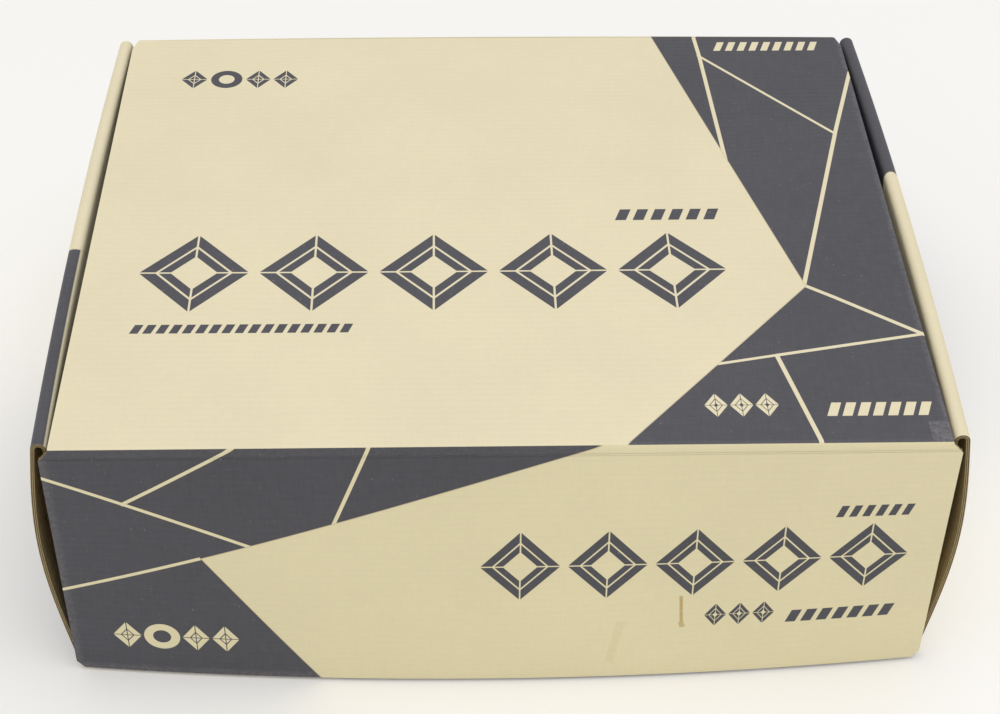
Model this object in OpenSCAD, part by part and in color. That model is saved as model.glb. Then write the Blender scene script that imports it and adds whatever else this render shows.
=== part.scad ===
// A pair of oval coaxial car speakers in its folded carton.
// Origin: middle of the carton's underside. X to the right, Y to the rear, Z up. Millimetres.
// The carton is sized from what it holds: two speakers side by side, an insert and an accessory bay.

/* [Speaker flange] */
// Length of each speaker's flange
flange_l = 235.5; // [190:0.5:290]
// Width of each speaker's flange
flange_w = 164.6; // [130:0.2:200]
// How much smaller the flange's end radius is than half its width
end_ease = 12.3; // [6:0.1:18]
// Thickness of the flange sheet
flange_t = 1.4; // [1:0.1:2.5]
// Width of the flange from its edge to the opening
flange_rim = 11; // [9:0.5:14]
// Radius of a mounting hole
hole_r = 2.5; // [2:0.1:3]
// Radius of the ear around a mounting hole
ear_r = 7; // [6:0.5:9]
// Direction of the mounting holes, from the long side towards the end
hole_dir = 42; // [35:1:55]
// How far the mounting holes lie inside the flange's edge
hole_inset = 2; // [1:0.5:3]

/* [Basket] */
// Depth from the flange's underside to the back plate's underside
mount_depth = 79.5; // [70:0.5:100]
// Thickness of the pressed basket sheet
basket_t = 1.5; // [1.2:0.1:2]
// Depth of the wall below the flange
rim_drop = 9; // [6:0.5:14]
// Width of a spoke
spoke_w = 16; // [10:1:22]
// Number of spokes
spoke_n = 8; // [4:2:10]
// Radius of the shelf that the spider is glued to
shelf_r = 46; // [42:0.5:52]
// Width of the spider's glued rim
shelf_w = 8; // [6:0.5:10]
// Height of the step from the motor up to the spider's shelf
step_h = 9; // [7:0.5:14]
// Height of the spokes' fillets under the rim
spoke_foot = 2; // [1:0.5:3]

/* [Motor] */
// Outer radius of the ring magnet
magnet_r = 48; // [40:1:55]
// Inner radius of the ring magnet
magnet_bore_r = 20; // [18:0.5:24]
// Thickness of the ring magnet
magnet_t = 14; // [10:0.5:20]
// Thickness of the top plate and of the back plate
plate_t = 5; // [4:0.5:7]
// Radius of the two plates
plate_r = 43; // [36:0.5:48]
// Outer radius of the voice coil's former
former_r = 13.2; // [12:0.1:16]
// Wall of the former
former_wall = 0.3; // [0.2:0.1:0.5]
// Build-up of the winding on the former
winding_t = 0.7; // [0.4:0.1:1]
// Height of the winding
winding_h = 9; // [6:0.5:12]
// Clearance on each side of the coil in the magnetic gap
gap_clear = 0.6; // [0.4:0.1:1]
// Travel of the cone each way
travel = 4; // [2:0.5:5]
// Space left between the cone's neck and the spider's shelf at full travel
neck_clear = 2; // [1:0.5:4]

/* [Cone and surround] */
// Width of the surround's glued lip
lip_w = 3.5; // [2.5:0.5:5]
// Thickness of the surround
rubber_t = 1; // [0.6:0.1:1.4]
// Width of the surround's roll
roll_w = 12; // [8:0.5:15]
// Height of the surround's roll
roll_h = 5.5; // [3:0.5:7]
// Thickness of the cone
cone_t = 1.2; // [0.8:0.1:2]
// Curve of the cone's wall, from straight to flared
cone_flare = 4; // [0:0.5:8]
// Depth of glue between parts that are bonded
glue = 0.1; // [0.05:0.05:0.2]
// Thickness of the gasket on the flange
gasket_t = 3; // [2:0.5:5]

/* [Coaxial pod] */
// Height of the pod's top above the flange's underside
pod_rise = 31; // [24:0.5:36]
// Height of the pod
pod_h = 20; // [16:0.5:24]
// Length of the pod
pod_l = 94; // [80:1:110]
// Width of the pod
pod_w = 50; // [44:1:60]
// Wall of the pod
pod_wall = 2; // [1.5:0.5:3]
// Radius of the post that carries the pod
post_r = 4.5; // [3:0.5:6]
// Outer radius of the midrange cone
mid_r = 20; // [16:0.5:21]
// Outer radius of the tweeter dome
dome_r = 10; // [7:0.5:12]
// Space between the two small drivers
driver_gap = 6; // [4:0.5:10]
// How much smaller the pod's end radius is than half its width
pod_ease = 4; // [2:0.5:8]
// Width of the trim rings beyond the drivers
ring_w = 3; // [2:0.5:4]
// How far the trim rings lap over the drivers' edges
ring_lap = 0.5; // [0.2:0.1:1]
// Thickness of the trim rings
ring_t = 2; // [1:0.5:3]
// Thickness of the small drivers' films
film_t = 1.2; // [0.8:0.1:1.5]
// Depth from the pod's floor to the tops of the small drivers' magnets
driver_room = 11.5; // [11.5:0.5:14]

/* [Terminals] */
// Length of the terminal board along the carton
board_l = 30; // [24:1:36]
// How far the terminal board stands out from the shelf
board_out = 17; // [14:1:20]
// Thickness of the terminal board
board_t = 1.6; // [1.2:0.2:2]
// Width of the wider terminal blade
blade_w = 6.3; // [4.8:0.1:8]
// Width of the narrower terminal blade
blade_small_w = 4.8; // [2.8:0.1:6.3]
// Length of a blade beyond the board
blade_l = 9; // [7:0.5:11]
// Thickness of a blade
blade_t = 0.8; // [0.5:0.1:1]
// Length of a blade's foot on the board
blade_foot = 6; // [4:0.5:8]
// Radius of the capacitor
cap_r = 4.5; // [3:0.5:6]
// Length of the capacitor
cap_l = 18; // [12:1:24]
// Space between the blades' feet and the capacitor
cap_gap = 1.5; // [1:0.5:3]
// Radius of a braided lead
lead_r = 0.6; // [0.4:0.1:0.8]
// Radius of the arch of a braided lead
lead_span = 8; // [7:0.5:10]

/* [Carton] */
// Thickness of the corrugated board
board = 1.5; // [1.2:0.1:2]
// Space between the two flanges
speaker_gap = 2; // [1:0.5:10]
// Space between a flange and the inner side panel
side_gap = 1.3; // [1:0.1:6]
// Clearance between board layers that stay together
fold_gap = 0.2; // [0.1:0.05:0.4]
// Clearance between board layers that move past each other
slip_gap = 0.4; // [0.35:0.05:1]
// Space between the lid's edge and the rolled strip
strip_gap = 0.8; // [0.5:0.1:2]
// Width of the rolled strip on top of each side
strip_w = 6.2; // [5.6:0.1:9]
// How far the front flap is wider than the lid, on each side
flap_over = 4; // [3:0.5:5]
// Space between the base and the speakers' back plates
floor_gap = 5; // [2:0.5:20]
// Space between the pods and the lid
headroom = 3.6; // [2:0.2:20]
// Depth of the accessory bay behind the insert
bay_depth = 37.1; // [34:0.5:80]
// Outward bulge of the side panels
side_bulge = 5.7; // [0:0.1:7]
// Outward bow of the rolled strips in plan
strip_bow = 2.2; // [0:0.1:3]
// Forward bow of the front flap's lower edge
flap_bow = 9; // [0:0.5:10]
// How far the rolled sides end behind the front flap's face
side_setback = 3.5; // [3.4:0.1:6]
// Size of the lid's cut rear corners
lid_corner = 4; // [2:0.5:8]
// Lowest point of the front flap above the ground
flap_lift = 1; // [0.5:0.5:3]
// Cut at the flap's upper corners
flap_corner = 3; // [1:0.5:4]
// Height of the ears' lower end above the ground
ear_low = 16; // [14:1:30]
// Greatest length of the ears
ear_l = 30; // [20:1:40]
// Clearance of the swinging ears before the rolled sides' front ends
ear_clear = 0.9; // [0.5:0.1:2]
// Length of the corner flaps
corner_l = 40; // [25:1:60]
// Height of the corner flaps' lower edge above the ground
corner_low = 8; // [4:1:12]
// Distance from the corner flaps' upper edge to the walls' top
corner_drop = 15; // [12:1:20]

/* [Insert and accessories] */
// Margin of the deck round the flanges' ends
deck_margin = 3; // [2:0.5:8]
// Clearance of a basket in the deck's cut-out
cut_clear = 1.6; // [1:0.1:3]
// Width of the leaflet
leaflet_w = 148; // [100:1:160]
// Height of the leaflet
leaflet_h = 104; // [60:1:105]
// Thickness of one leaf
leaf_t = 0.6; // [0.4:0.1:1]
// How far each leaf stands open
leaf_open = 3; // [1:0.5:4]
// Radius of a screw's head
head_r = 4; // [3:0.5:5]
// Length of a screw
screw_l = 24; // [16:1:28]
// Number of screws and of speed clips
screw_n = 8; // [4:1:8]
// Distance of the first screw and the first clip from the carton's middle
pile_x = 20; // [15:1:24]
// Distance of the screws and clips from the insert
pile_gap = 4; // [2:1:6]
// Width of a speed clip
clip_w = 10; // [8:1:11]
// Length of a speed clip
clip_l = 16; // [12:1:18]
// Height of a speed clip
clip_h = 4; // [3:0.5:6]
// Thickness of a speed clip
clip_t = 0.8; // [0.5:0.1:1]

/* [Hidden] */
$fn = 64;
round_steps = 48;    // stations round an oval loft
wall_steps = 12;     // stations along a side panel

// Flange outline and its holes
fl_a = flange_l / 2;
fl_b = flange_w / 2;
fl_r = fl_b - end_ease;
flange_top = flange_t;
hole_x = (fl_r - hole_inset) * cos(hole_dir);
hole_y = fl_a - fl_r + (fl_r - hole_inset) * sin(hole_dir);

// Heights inside a speaker, from the flange's underside
back_z = -mount_depth;
magnet_z = back_z + plate_t;
top_z = magnet_z + magnet_t;
motor_z = top_z + plate_t;
shelf_z = motor_z + step_h;
rim_in = flange_rim - basket_t;
cone_edge = rim_in - lip_w / 2 + lip_w + roll_w;
cone_top_z = flange_top - glue;
neck_z = shelf_z + travel + neck_clear;
plate_bore_r = former_r + winding_t + gap_clear;
pole_r = former_r - former_wall - gap_clear;
winding_z = motor_z - plate_t / 2 - winding_h / 2;
pod_z = pod_rise - pod_h;
drivers_span = 2 * mid_r + driver_gap + 2 * dome_r;
mid_y = -drivers_span / 2 + mid_r;
dome_y = drivers_span / 2 - dome_r;
board_z = shelf_z + basket_t;
side_room = fl_b + side_gap - shelf_r - blade_l - slip_gap;
board_reach = min(board_out, side_room);

// Carton, across
inner_x = flange_w + speaker_gap / 2 + side_gap;
corner_x = inner_x + board + fold_gap;
ear_x = corner_x + board + slip_gap;
flap_x = ear_x + board;
lid_x = flap_x - flap_over;
strip_x = lid_x + strip_gap;
spk_x = flange_w / 2 + speaker_gap / 2;
panel_in_x = min(inner_x, strip_x);

// Carton, front to back
deck_l = flange_l + 2 * deck_margin;
depth = 3 * board + 2 * slip_gap + deck_l + bay_depth;
front_y = -depth / 2;
wall_y = front_y + board + slip_gap;
deck_y = wall_y + board + slip_gap;
bay_y = deck_y + deck_l;
rear_y = depth / 2 - board;
spk_y = deck_y + deck_l / 2;
side_y0 = max(front_y + side_setback, wall_y + board + fold_gap / 2);
side_y1 = rear_y - slip_gap;

// Carton, up
deck_z = board + floor_gap + mount_depth;
height = deck_z + pod_rise + headroom + board;
lid_z = height - board;
crease_z = lid_z - fold_gap;
arch_r = strip_w / 2;
arch_z = height - arch_r;
wall_top = lid_z - board;
corner_top = wall_top - corner_drop;
ear_reach = depth / 2 - side_y0 + ear_clear;

// ---- Oval outline: two end arcs and two side arcs that meet in one direction ----

// Radius of the side arcs of an oval of half length a, half width b and end radius r
function side_r(a, b, r) = (b * b + pow(a - r, 2) - r * r) / (2 * (b - r));

// Point of the oval whose outward direction is phi
function oval_pt(a, b, r, phi) =
    let (c = a - r)
    let (big = side_r(a, b, r))
    let (k = big - b)
    let (on_end = abs(sin(phi)) * k >= abs(cos(phi)) * c)
    on_end
        ? [r * cos(phi), sign(sin(phi)) * c + r * sin(phi)]
        : [big * cos(phi) - sign(cos(phi)) * k, big * sin(phi)];

// Point of the flange's outline, moved inward by inset
function rim_pt(inset, phi) = oval_pt(fl_a - inset, fl_b - inset, fl_r - inset, phi);

// Flange outline moved inward by inset
module rim_shape(inset) {
    polygon([for (i = [0 : 2 * round_steps - 1]) rim_pt(inset, 180 * i / round_steps)]);
}

// Upright band that follows the flange's outline between two insets
module rim_band(outer, inner, h) {
    linear_extrude(h) {
        difference() {
            rim_shape(outer);
            rim_shape(inner);
        }
    }
}

// ---- Solids from grids of points ----

// Two triangles of a four-cornered face
function quad(a, b, c, d) = [[a, b, c], [a, c, d]];

// Solid whose closed section is swept round a closed ring: rows are stations, columns the section
module ring_loft(rows) {
    n = len(rows);
    m = len(rows[0]);
    faces = [for (i = [0 : n - 1]) for (j = [0 : m - 1])
        let (i2 = (i + 1) % n)
        let (j2 = (j + 1) % m)
        each quad(i * m + j, i * m + j2, i2 * m + j2, i2 * m + j)];
    polyhedron(points = [for (row = rows) each row], faces = faces);
}

// Sheet between two equal grids of points, closed round its four edges
module sheet(front, back) {
    n = len(front);
    m = len(front[0]);
    k = n * m;
    skins = [for (i = [0 : n - 2]) for (j = [0 : m - 2])
        let (a = i * m + j)
        each concat(quad(a, a + 1, a + m + 1, a + m), quad(k + a, k + a + m, k + a + m + 1, k + a + 1))];
    ends = [for (j = [0 : m - 2])
        let (z = (n - 1) * m + j)
        each concat(quad(j + 1, j, k + j, k + j + 1), quad(z, z + 1, k + z + 1, k + z))];
    sides = [for (i = [0 : n - 2])
        let (a = i * m)
        let (z = i * m + m - 1)
        each concat(quad(a, a + m, k + a + m, k + a), quad(z + m, z, k + z, k + z + m))];
    points = concat([for (row = front) each row], [for (row = back) each row]);
    polyhedron(points = points, faces = concat(skins, ends, sides));
}

// Flat ring about Z
module disc_ring(outer, inner, h) {
    difference() {
        cylinder(r = outer, h = h);
        translate([0, 0, -1])
            cylinder(r = inner, h = h + 2);
    }
}

// Places a speaker's part: side is -1 on the left and 1 on the right
module at_speaker(side) {
    translate([side * spk_x, spk_y, deck_z])
        mirror([side > 0 ? 1 : 0, 0, 0])
            children();
}

// Block between two corners
module block(from, to) {
    translate(from)
        cube(to - from);
}

// ---- Carton ----

module base_panel() {
    color("tan")
        block([-ear_x, wall_y, 0], [ear_x, depth / 2, board]);
}

module front_wall() {
    color("tan")
        block([-corner_x, wall_y, board], [corner_x, wall_y + board, wall_top]);
}

module rear_wall() {
    color("wheat")
        block([-corner_x, rear_y, board], [corner_x, depth / 2, wall_top]);
}

// Outer face of a side panel at height z, on a station whose strip is bowed out by bow
function side_x(z, bow) =
    let (t = max(0, z / arch_z))
    flap_x + (strip_x + strip_w - flap_x + bow) * t + side_bulge * sin(180 * pow(t, 1.1));

// Path of the rolled board from the base, over the strip and down inside; inset is 0 or the board
function wall_path(inset, bow) = concat(
    [for (i = [0 : 10]) [side_x(arch_z * i / 10, bow) - inset, arch_z * i / 10]],
    [for (i = [1 : 7])
        [strip_x + arch_r + bow + (arch_r - inset) * cos(22.5 * i), arch_z + (arch_r - inset) * sin(22.5 * i)]],
    [[strip_x + bow + inset, arch_z],
     [strip_x + bow * 0.8 + inset, arch_z - 5],
     [panel_in_x + inset, corner_top + 3],
     [panel_in_x + inset, corner_top / 2],
     [panel_in_x + inset, board + fold_gap]]);

// One side of the carton, folded up, rolled over and folded down again: one piece of board
module side_wall() {
    stations = [for (i = [0 : wall_steps]) i / wall_steps];
    bows = [for (s = stations) strip_bow * (1 - pow(2 * s - 1, 2))];
    ys = [for (s = stations) side_y0 + (side_y1 - side_y0) * s];
    front = [for (i = [0 : wall_steps]) [for (p = wall_path(0, bows[i])) [p[0], ys[i], p[1]]]];
    back = [for (i = [0 : wall_steps]) [for (p = wall_path(board, bows[i])) [p[0], ys[i], p[1]]]];
    sheet(front, back);
}

module side_wall_right() {
    color("slategray")
        side_wall();
}

module side_wall_left() {
    color("slategray")
        mirror([1, 0, 0])
            side_wall();
}

// Pair of corner flaps between two places along Y
module corner_pair(y0, y1) {
    for (side = [0, 1]) {
        mirror([side, 0, 0])
            block([corner_x, y0, corner_low], [corner_x + board, y1, corner_top]);
    }
}

module corner_flaps_front() {
    color("tan")
        corner_pair(wall_y, wall_y + corner_l);
}

module corner_flaps_rear() {
    color("tan")
        corner_pair(depth / 2 - corner_l, depth / 2);
}

module lid_panel() {
    color("beige")
        translate([0, 0, lid_z])
            linear_extrude(board)
                polygon([
                    [-lid_x, front_y], [lid_x, front_y],
                    [lid_x, depth / 2 - lid_corner], [lid_x - lid_corner, depth / 2],
                    [lid_corner - lid_x, depth / 2], [-lid_x, depth / 2 - lid_corner]]);
}

// Front face of the flap: bowed forward towards the bottom, straight at its sides
function flap_y(x, z) = front_y - flap_bow * (1 - pow(x / flap_x, 2)) * sin(90 * (crease_z - z) / crease_z);

module front_flap() {
    top = lid_z - slip_gap;
    inner = [for (i = [0 : 14]) lid_x * (i / 7 - 1)];
    xs = concat([-flap_x], inner, [flap_x]);
    tops = [for (x = xs) top - flap_corner * max(0, abs(x) - lid_x) / flap_over];
    lows = [for (x = xs) flap_lift + flap_corner * max(0, abs(x) - lid_x) / flap_over];
    grid = [for (i = [0 : len(xs) - 1]) [for (j = [0 : 8])
        let (z = lows[i] + (tops[i] - lows[i]) * j / 8)
        [xs[i], flap_y(xs[i], z), z]]];
    back = [for (row = grid) [for (p = row) p + [0, board, 0]]];
    color("beige")
        sheet(grid, back);
}

// Ears folded back from the flap's sides; their rear edge swings about the lid's crease
module flap_ears() {
    top = lid_z - slip_gap - flap_corner - flap_lift;
    ear_y = front_y + board;
    color("tan")
        for (side = [0, 1]) {
            mirror([side, 0, 0])
                translate([ear_x, 0, 0])
                    rotate([90, 0, 90])
                        linear_extrude(board)
                            difference() {
                                polygon([
                                    [ear_y, top], [ear_y, ear_low],
                                    [front_y + ear_l, ear_low], [front_y + ear_l, top]]);
                                translate([depth / 2, crease_z])
                                    circle(r = ear_reach, $fn = 180);
                            }
        }
}

// ---- Insert and accessories ----

module insert_deck() {
    wide = inner_x - slip_gap;
    color("burlywood")
        union() {
            difference() {
                block([-wide, deck_y, deck_z - board], [wide, bay_y, deck_z]);
                for (side = [-1, 1]) {
                    translate([side * spk_x, spk_y, deck_z - board - 1])
                        linear_extrude(board + 2)
                            rim_shape(rim_in - cut_clear);
                }
            }
            block([-wide, deck_y, board + fold_gap], [wide, deck_y + board, deck_z - board]);
            block([-wide, bay_y - board, board + fold_gap], [wide, bay_y, deck_z - board]);
        }
}

module leaflet() {
    mid = bay_y + bay_depth - leaf_open - 3 * leaf_t;
    fold_w = 2;
    rim_gap = 6;
    color("white")
        translate([-leaflet_w / 2, mid, board])
            linear_extrude(min(leaflet_h, wall_top - rim_gap))
                polygon([
                    [0, 0], [leaflet_w, -leaf_open], [leaflet_w, leaf_t - leaf_open], [fold_w, leaf_t],
                    [fold_w, 1.4 * leaf_t], [leaflet_w, leaf_open], [leaflet_w, leaf_open + leaf_t],
                    [0, 2 * leaf_t]]);
}

module mounting_screws() {
    pitch = 2 * head_r + 3;
    head_t = head_r / 2;
    shank_r = head_r / 2;
    tip_l = head_r;
    color("dimgray")
        for (i = [0 : screw_n - 1]) {
            translate([pile_x + pitch * i, bay_y + pile_gap, board + head_r])
                rotate([-90, 0, 0]) {
                    cylinder(r1 = head_r, r2 = head_r * 0.8, h = head_t);
                    translate([0, 0, head_t])
                        cylinder(r = shank_r, h = screw_l - head_t - tip_l);
                    translate([0, 0, screw_l - tip_l])
                        cylinder(r1 = shank_r, r2 = shank_r / 5, h = tip_l);
                }
        }
}

module speed_clips() {
    pitch = clip_w + 5;
    tongue_l = clip_l - 3;
    color("gray")
        for (i = [0 : screw_n - 1]) {
            translate([-pile_x - pitch * i, bay_y + pile_gap, board])
                rotate([90, 0, 90])
                    linear_extrude(clip_w, center = true)
                        polygon([
                            [0, 0], [clip_l, 0], [clip_l, clip_t], [clip_t, clip_t],
                            [clip_t, clip_h - clip_t], [tongue_l, clip_h - clip_t], [tongue_l + 1, clip_h],
                            [0, clip_h]]);
        }
}

// ---- Speaker: heights are from the flange's underside, and the origin is on its axis ----

// Side view of the spoke that meets the rim in direction phi: distance from the axis, height
module spoke(phi) {
    top = rim_pt(rim_in, phi);
    reach = norm(top);
    bed = 0.3 * basket_t;
    foot = reach - 3 * basket_t;
    skin = reach - basket_t / 2;
    rotate([0, 0, atan2(top[1], top[0])])
        rotate([90, 0, 0])
            linear_extrude(spoke_w, center = true)
                polygon([
                    [foot, spoke_foot - rim_drop], [skin, spoke_foot - rim_drop],
                    [skin, -rim_drop - spoke_foot], [shelf_r - 1, shelf_z + bed],
                    [shelf_r - 3, shelf_z + bed], [shelf_r - 3, shelf_z + basket_t - bed],
                    [foot, -rim_drop]]);
}

// Turned middle of the basket: spider shelf, step and the seat on the top plate
module basket_seat() {
    step_r = shelf_r - shelf_w;
    seat_r = plate_bore_r + 3;
    rotate_extrude()
        polygon([
            [seat_r, motor_z], [step_r + basket_t, motor_z], [step_r + basket_t, shelf_z], [shelf_r, shelf_z],
            [shelf_r, shelf_z + basket_t], [step_r, shelf_z + basket_t], [step_r, motor_z + basket_t],
            [seat_r, motor_z + basket_t]]);
}

// Flange with its four ears and holes
module basket_flange() {
    difference() {
        linear_extrude(flange_t)
            union() {
                rim_shape(0);
                for (mx = [-1, 1]) {
                    for (my = [-1, 1]) {
                        translate([mx * hole_x, my * hole_y])
                            circle(r = ear_r);
                    }
                }
            }
        translate([0, 0, -1])
            linear_extrude(flange_t + 2)
                rim_shape(flange_rim);
        for (mx = [-1, 1]) {
            for (my = [-1, 1]) {
                translate([mx * hole_x, my * hole_y, -1])
                    cylinder(r = hole_r, h = flange_t + 2);
            }
        }
    }
}

module basket(side) {
    color("dimgray")
        at_speaker(side)
            union() {
                basket_flange();
                translate([0, 0, -rim_drop])
                    rim_band(rim_in, flange_rim, rim_drop + flange_t / 2);
                for (i = [0 : spoke_n - 1]) {
                    spoke(360 * (i + 0.5) / spoke_n);
                }
                basket_seat();
            }
}

module gasket(side) {
    inner = rim_in + lip_w / 2;
    outer = hole_inset + hole_r + 1;
    color("black")
        at_speaker(side)
            translate([0, 0, flange_top + rubber_t])
                rim_band(outer, inner, gasket_t);
}

// Section of the surround: inset from the flange's edge and height, over the top and back below
function roll_section() =
    let (out0 = rim_in - lip_w / 2)
    let (in0 = out0 + lip_w)
    let (in1 = in0 + roll_w)
    let (mid = (in0 + in1) / 2)
    let (base = flange_top)
    concat(
        [[out0, base + rubber_t]],
        [for (i = [0 : 6]) [mid - roll_w / 2 * cos(30 * i), base + rubber_t + roll_h * sin(30 * i)]],
        [[in1 + lip_w, base + rubber_t], [in1 + lip_w, base]],
        [for (i = [6 : -1 : 0])
            [mid - (roll_w / 2 - rubber_t) * cos(30 * i), base + (roll_h - rubber_t / 2) * sin(30 * i)]],
        [[out0, base]]);

module surround(side) {
    section = roll_section();
    rows = [for (i = [0 : round_steps - 1])
        [for (p = section)
            let (q = rim_pt(p[0], 360 * i / round_steps))
            [q[0], q[1], p[1]]]];
    color("black")
        at_speaker(side)
            ring_loft(rows);
}

// Point of the cone at u from its edge (0) to its neck (1), in direction phi, moved down by drop
function cone_pt(u, phi, drop) =
    let (rim = rim_pt(cone_edge, phi))
    let (neck = former_r * [cos(phi), sin(phi)])
    let (p = rim * (1 - u) + neck * u)
    [p[0], p[1], cone_top_z + (neck_z - cone_top_z) * u + cone_flare * sin(180 * u) - drop];

module cone(side) {
    us = [0, 0.12, 0.3, 0.5, 0.7, 0.88, 1];
    rows = [for (i = [0 : round_steps - 1])
        let (phi = 360 * i / round_steps)
        concat(
            [for (u = us) cone_pt(u, phi, 0)],
            [for (i2 = [len(us) - 1 : -1 : 0]) cone_pt(us[i2], phi, cone_t)])];
    color("darkslategray")
        at_speaker(side)
            ring_loft(rows);
}

module spider(side) {
    waves = 5;
    wave_h = 1.2;
    cloth_t = 0.6;
    r0 = former_r + glue;
    r1 = shelf_r - shelf_w + 1;
    z0 = board_z + wave_h;
    n = 8 * waves;
    top = [for (i = [0 : n]) [r0 + (r1 - r0) * i / n, z0 + cloth_t + wave_h * sin(360 * waves * i / n)]];
    low = [for (i = [n : -1 : 0]) [r0 + (r1 - r0) * i / n, z0 + wave_h * sin(360 * waves * i / n)]];
    edge_r = shelf_r - 3.5;
    color("goldenrod")
        at_speaker(side)
            rotate_extrude()
                polygon(concat(low, top, [[edge_r, z0 + cloth_t], [edge_r, board_z], [r1, board_z]]));
}

module voice_coil(side) {
    color("peru")
        at_speaker(side) {
            translate([0, 0, winding_z])
                disc_ring(former_r, former_r - former_wall, neck_z - cone_t - winding_z);
            translate([0, 0, winding_z])
                disc_ring(former_r + winding_t, former_r, winding_h);
        }
}

module top_plate(side) {
    color("silver")
        at_speaker(side)
            translate([0, 0, top_z])
                disc_ring(plate_r, plate_bore_r, plate_t);
}

module magnet(side) {
    color("darkslategray")
        at_speaker(side)
            translate([0, 0, magnet_z])
                disc_ring(magnet_r, magnet_bore_r, magnet_t);
}

module back_plate(side) {
    color("silver")
        at_speaker(side)
            translate([0, 0, back_z]) {
                cylinder(r = plate_r, h = plate_t);
                cylinder(r = pole_r, h = motor_z - back_z);
            }
}

module tweeter_post(side) {
    color("gray")
        at_speaker(side) {
            translate([0, 0, motor_z])
                cylinder(r = post_r, h = pod_z - motor_z);
            translate([0, 0, motor_z])
                cylinder(r = pole_r - 2, h = 3);
        }
}

// Outline of the pod, moved inward by inset
module pod_shape(inset) {
    a = pod_l / 2 - inset;
    b = pod_w / 2 - inset;
    r = pod_w / 2 - pod_ease - inset;
    polygon([for (i = [0 : 2 * round_steps - 1]) oval_pt(a, b, r, 180 * i / round_steps)]);
}

module driver_pod(side) {
    floor_t = 2 * pod_wall;
    color("black")
        at_speaker(side)
            translate([0, 0, pod_z])
                difference() {
                    linear_extrude(pod_h - ring_t)
                        pod_shape(0);
                    translate([0, mid_y, floor_t])
                        cylinder(r = mid_r + 1, h = pod_h);
                    translate([0, dome_y, floor_t])
                        cylinder(r = dome_r + 1, h = pod_h);
                }
}

module pod_rings(side) {
    color("silver")
        at_speaker(side) {
            translate([0, mid_y, pod_rise - ring_t])
                disc_ring(mid_r + ring_w, mid_r - ring_lap, ring_t);
            translate([0, dome_y, pod_rise - ring_t])
                disc_ring(dome_r + ring_w, dome_r - ring_lap, ring_t);
        }
}

// Turned film: the points run from the axis outward along its upper face
module film(upper) {
    lower = [for (i = [len(upper) - 1 : -1 : 0]) upper[i] - [0, film_t]];
    rotate_extrude()
        polygon(concat(upper, lower));
}

module midrange_cone(side) {
    rim_z = pod_rise - ring_t - 1;
    neck_r = mid_r * 0.35;
    deep = 7;
    color("dimgray")
        at_speaker(side)
            translate([0, mid_y, 0])
                film([
                    [0, rim_z - 3], [neck_r * 0.6, rim_z - 4.4], [neck_r, rim_z - deep],
                    [mid_r - 3, rim_z - 1], [mid_r - 1.5, rim_z], [mid_r, rim_z]]);
}

module tweeter_dome(side) {
    rim_z = pod_rise - ring_t - 3;
    cap_r1 = dome_r * 0.62;
    cap_h = 2.4;
    color("silver")
        at_speaker(side)
            translate([0, dome_y, 0])
                film([
                    [0, rim_z + cap_h], [cap_r1 * 0.4, rim_z + cap_h * 0.83], [cap_r1 * 0.8, rim_z + cap_h / 3],
                    [cap_r1, rim_z - cap_h / 3], [dome_r, rim_z]]);
}

module driver_magnets(side) {
    floor_z = pod_z + 2 * pod_wall;
    magnet_h = pod_h - 2 * pod_wall - driver_room;
    color("gray")
        at_speaker(side) {
            translate([0, mid_y, floor_z])
                cylinder(r = mid_r * 0.6, h = magnet_h);
            translate([0, dome_y, floor_z])
                cylinder(r = dome_r * 0.7, h = magnet_h);
        }
}

module terminal_board(side) {
    color("saddlebrown")
        at_speaker(side)
            block(
                [-shelf_r - board_reach, -board_l / 2, board_z],
                [0.5 - shelf_r, board_l / 2, board_z + board_t]);
}

module terminals(side) {
    z = board_z + board_t;
    x0 = -shelf_r - board_reach - blade_l;
    x1 = -shelf_r - board_reach + blade_foot;
    y = board_l / 4;
    color("gold")
        at_speaker(side) {
            block([x0, y - blade_w / 2, z], [x1, y + blade_w / 2, z + blade_t]);
            block([x0, -y - blade_small_w / 2, z], [x1, blade_small_w / 2 - y, z + blade_t]);
        }
}

module capacitor(side) {
    color("navy")
        at_speaker(side)
            translate([cap_r + cap_gap + blade_foot - shelf_r - board_reach, 0, board_z + board_t + cap_r])
                rotate([90, 0, 0])
                    cylinder(r = cap_r, h = cap_l, center = true);
}

// Two braided leads that arch from the terminal board to the back of the cone
module tinsel_leads(side) {
    x = 0.5 - shelf_r - lead_span;
    color("peru")
        at_speaker(side)
            for (y = [-board_l / 3, board_l / 3]) {
                translate([x, y, board_z + 3])
                    rotate([90, 0, 0])
                        rotate_extrude(angle = 180)
                            translate([lead_span, 0])
                                circle(r = lead_r, $fn = 16);
            }
}

base_panel();
front_wall();
rear_wall();
side_wall_left();
side_wall_right();
corner_flaps_front();
corner_flaps_rear();
lid_panel();
front_flap();
flap_ears();
insert_deck();
leaflet();
mounting_screws();
speed_clips();
basket(-1);  // basket_left
gasket(-1);  // gasket_left
surround(-1);  // surround_left
cone(-1);  // cone_left
spider(-1);  // spider_left
voice_coil(-1);  // voice_coil_left
top_plate(-1);  // top_plate_left
magnet(-1);  // magnet_left
back_plate(-1);  // back_plate_left
tweeter_post(-1);  // tweeter_post_left
driver_pod(-1);  // driver_pod_left
pod_rings(-1);  // pod_rings_left
midrange_cone(-1);  // midrange_cone_left
tweeter_dome(-1);  // tweeter_dome_left
driver_magnets(-1);  // driver_magnets_left
terminal_board(-1);  // terminal_board_left
terminals(-1);  // terminals_left
capacitor(-1);  // capacitor_left
tinsel_leads(-1);  // tinsel_leads_left
basket(1);  // basket_right
gasket(1);  // gasket_right
surround(1);  // surround_right
cone(1);  // cone_right
spider(1);  // spider_right
voice_coil(1);  // voice_coil_right
top_plate(1);  // top_plate_right
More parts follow.
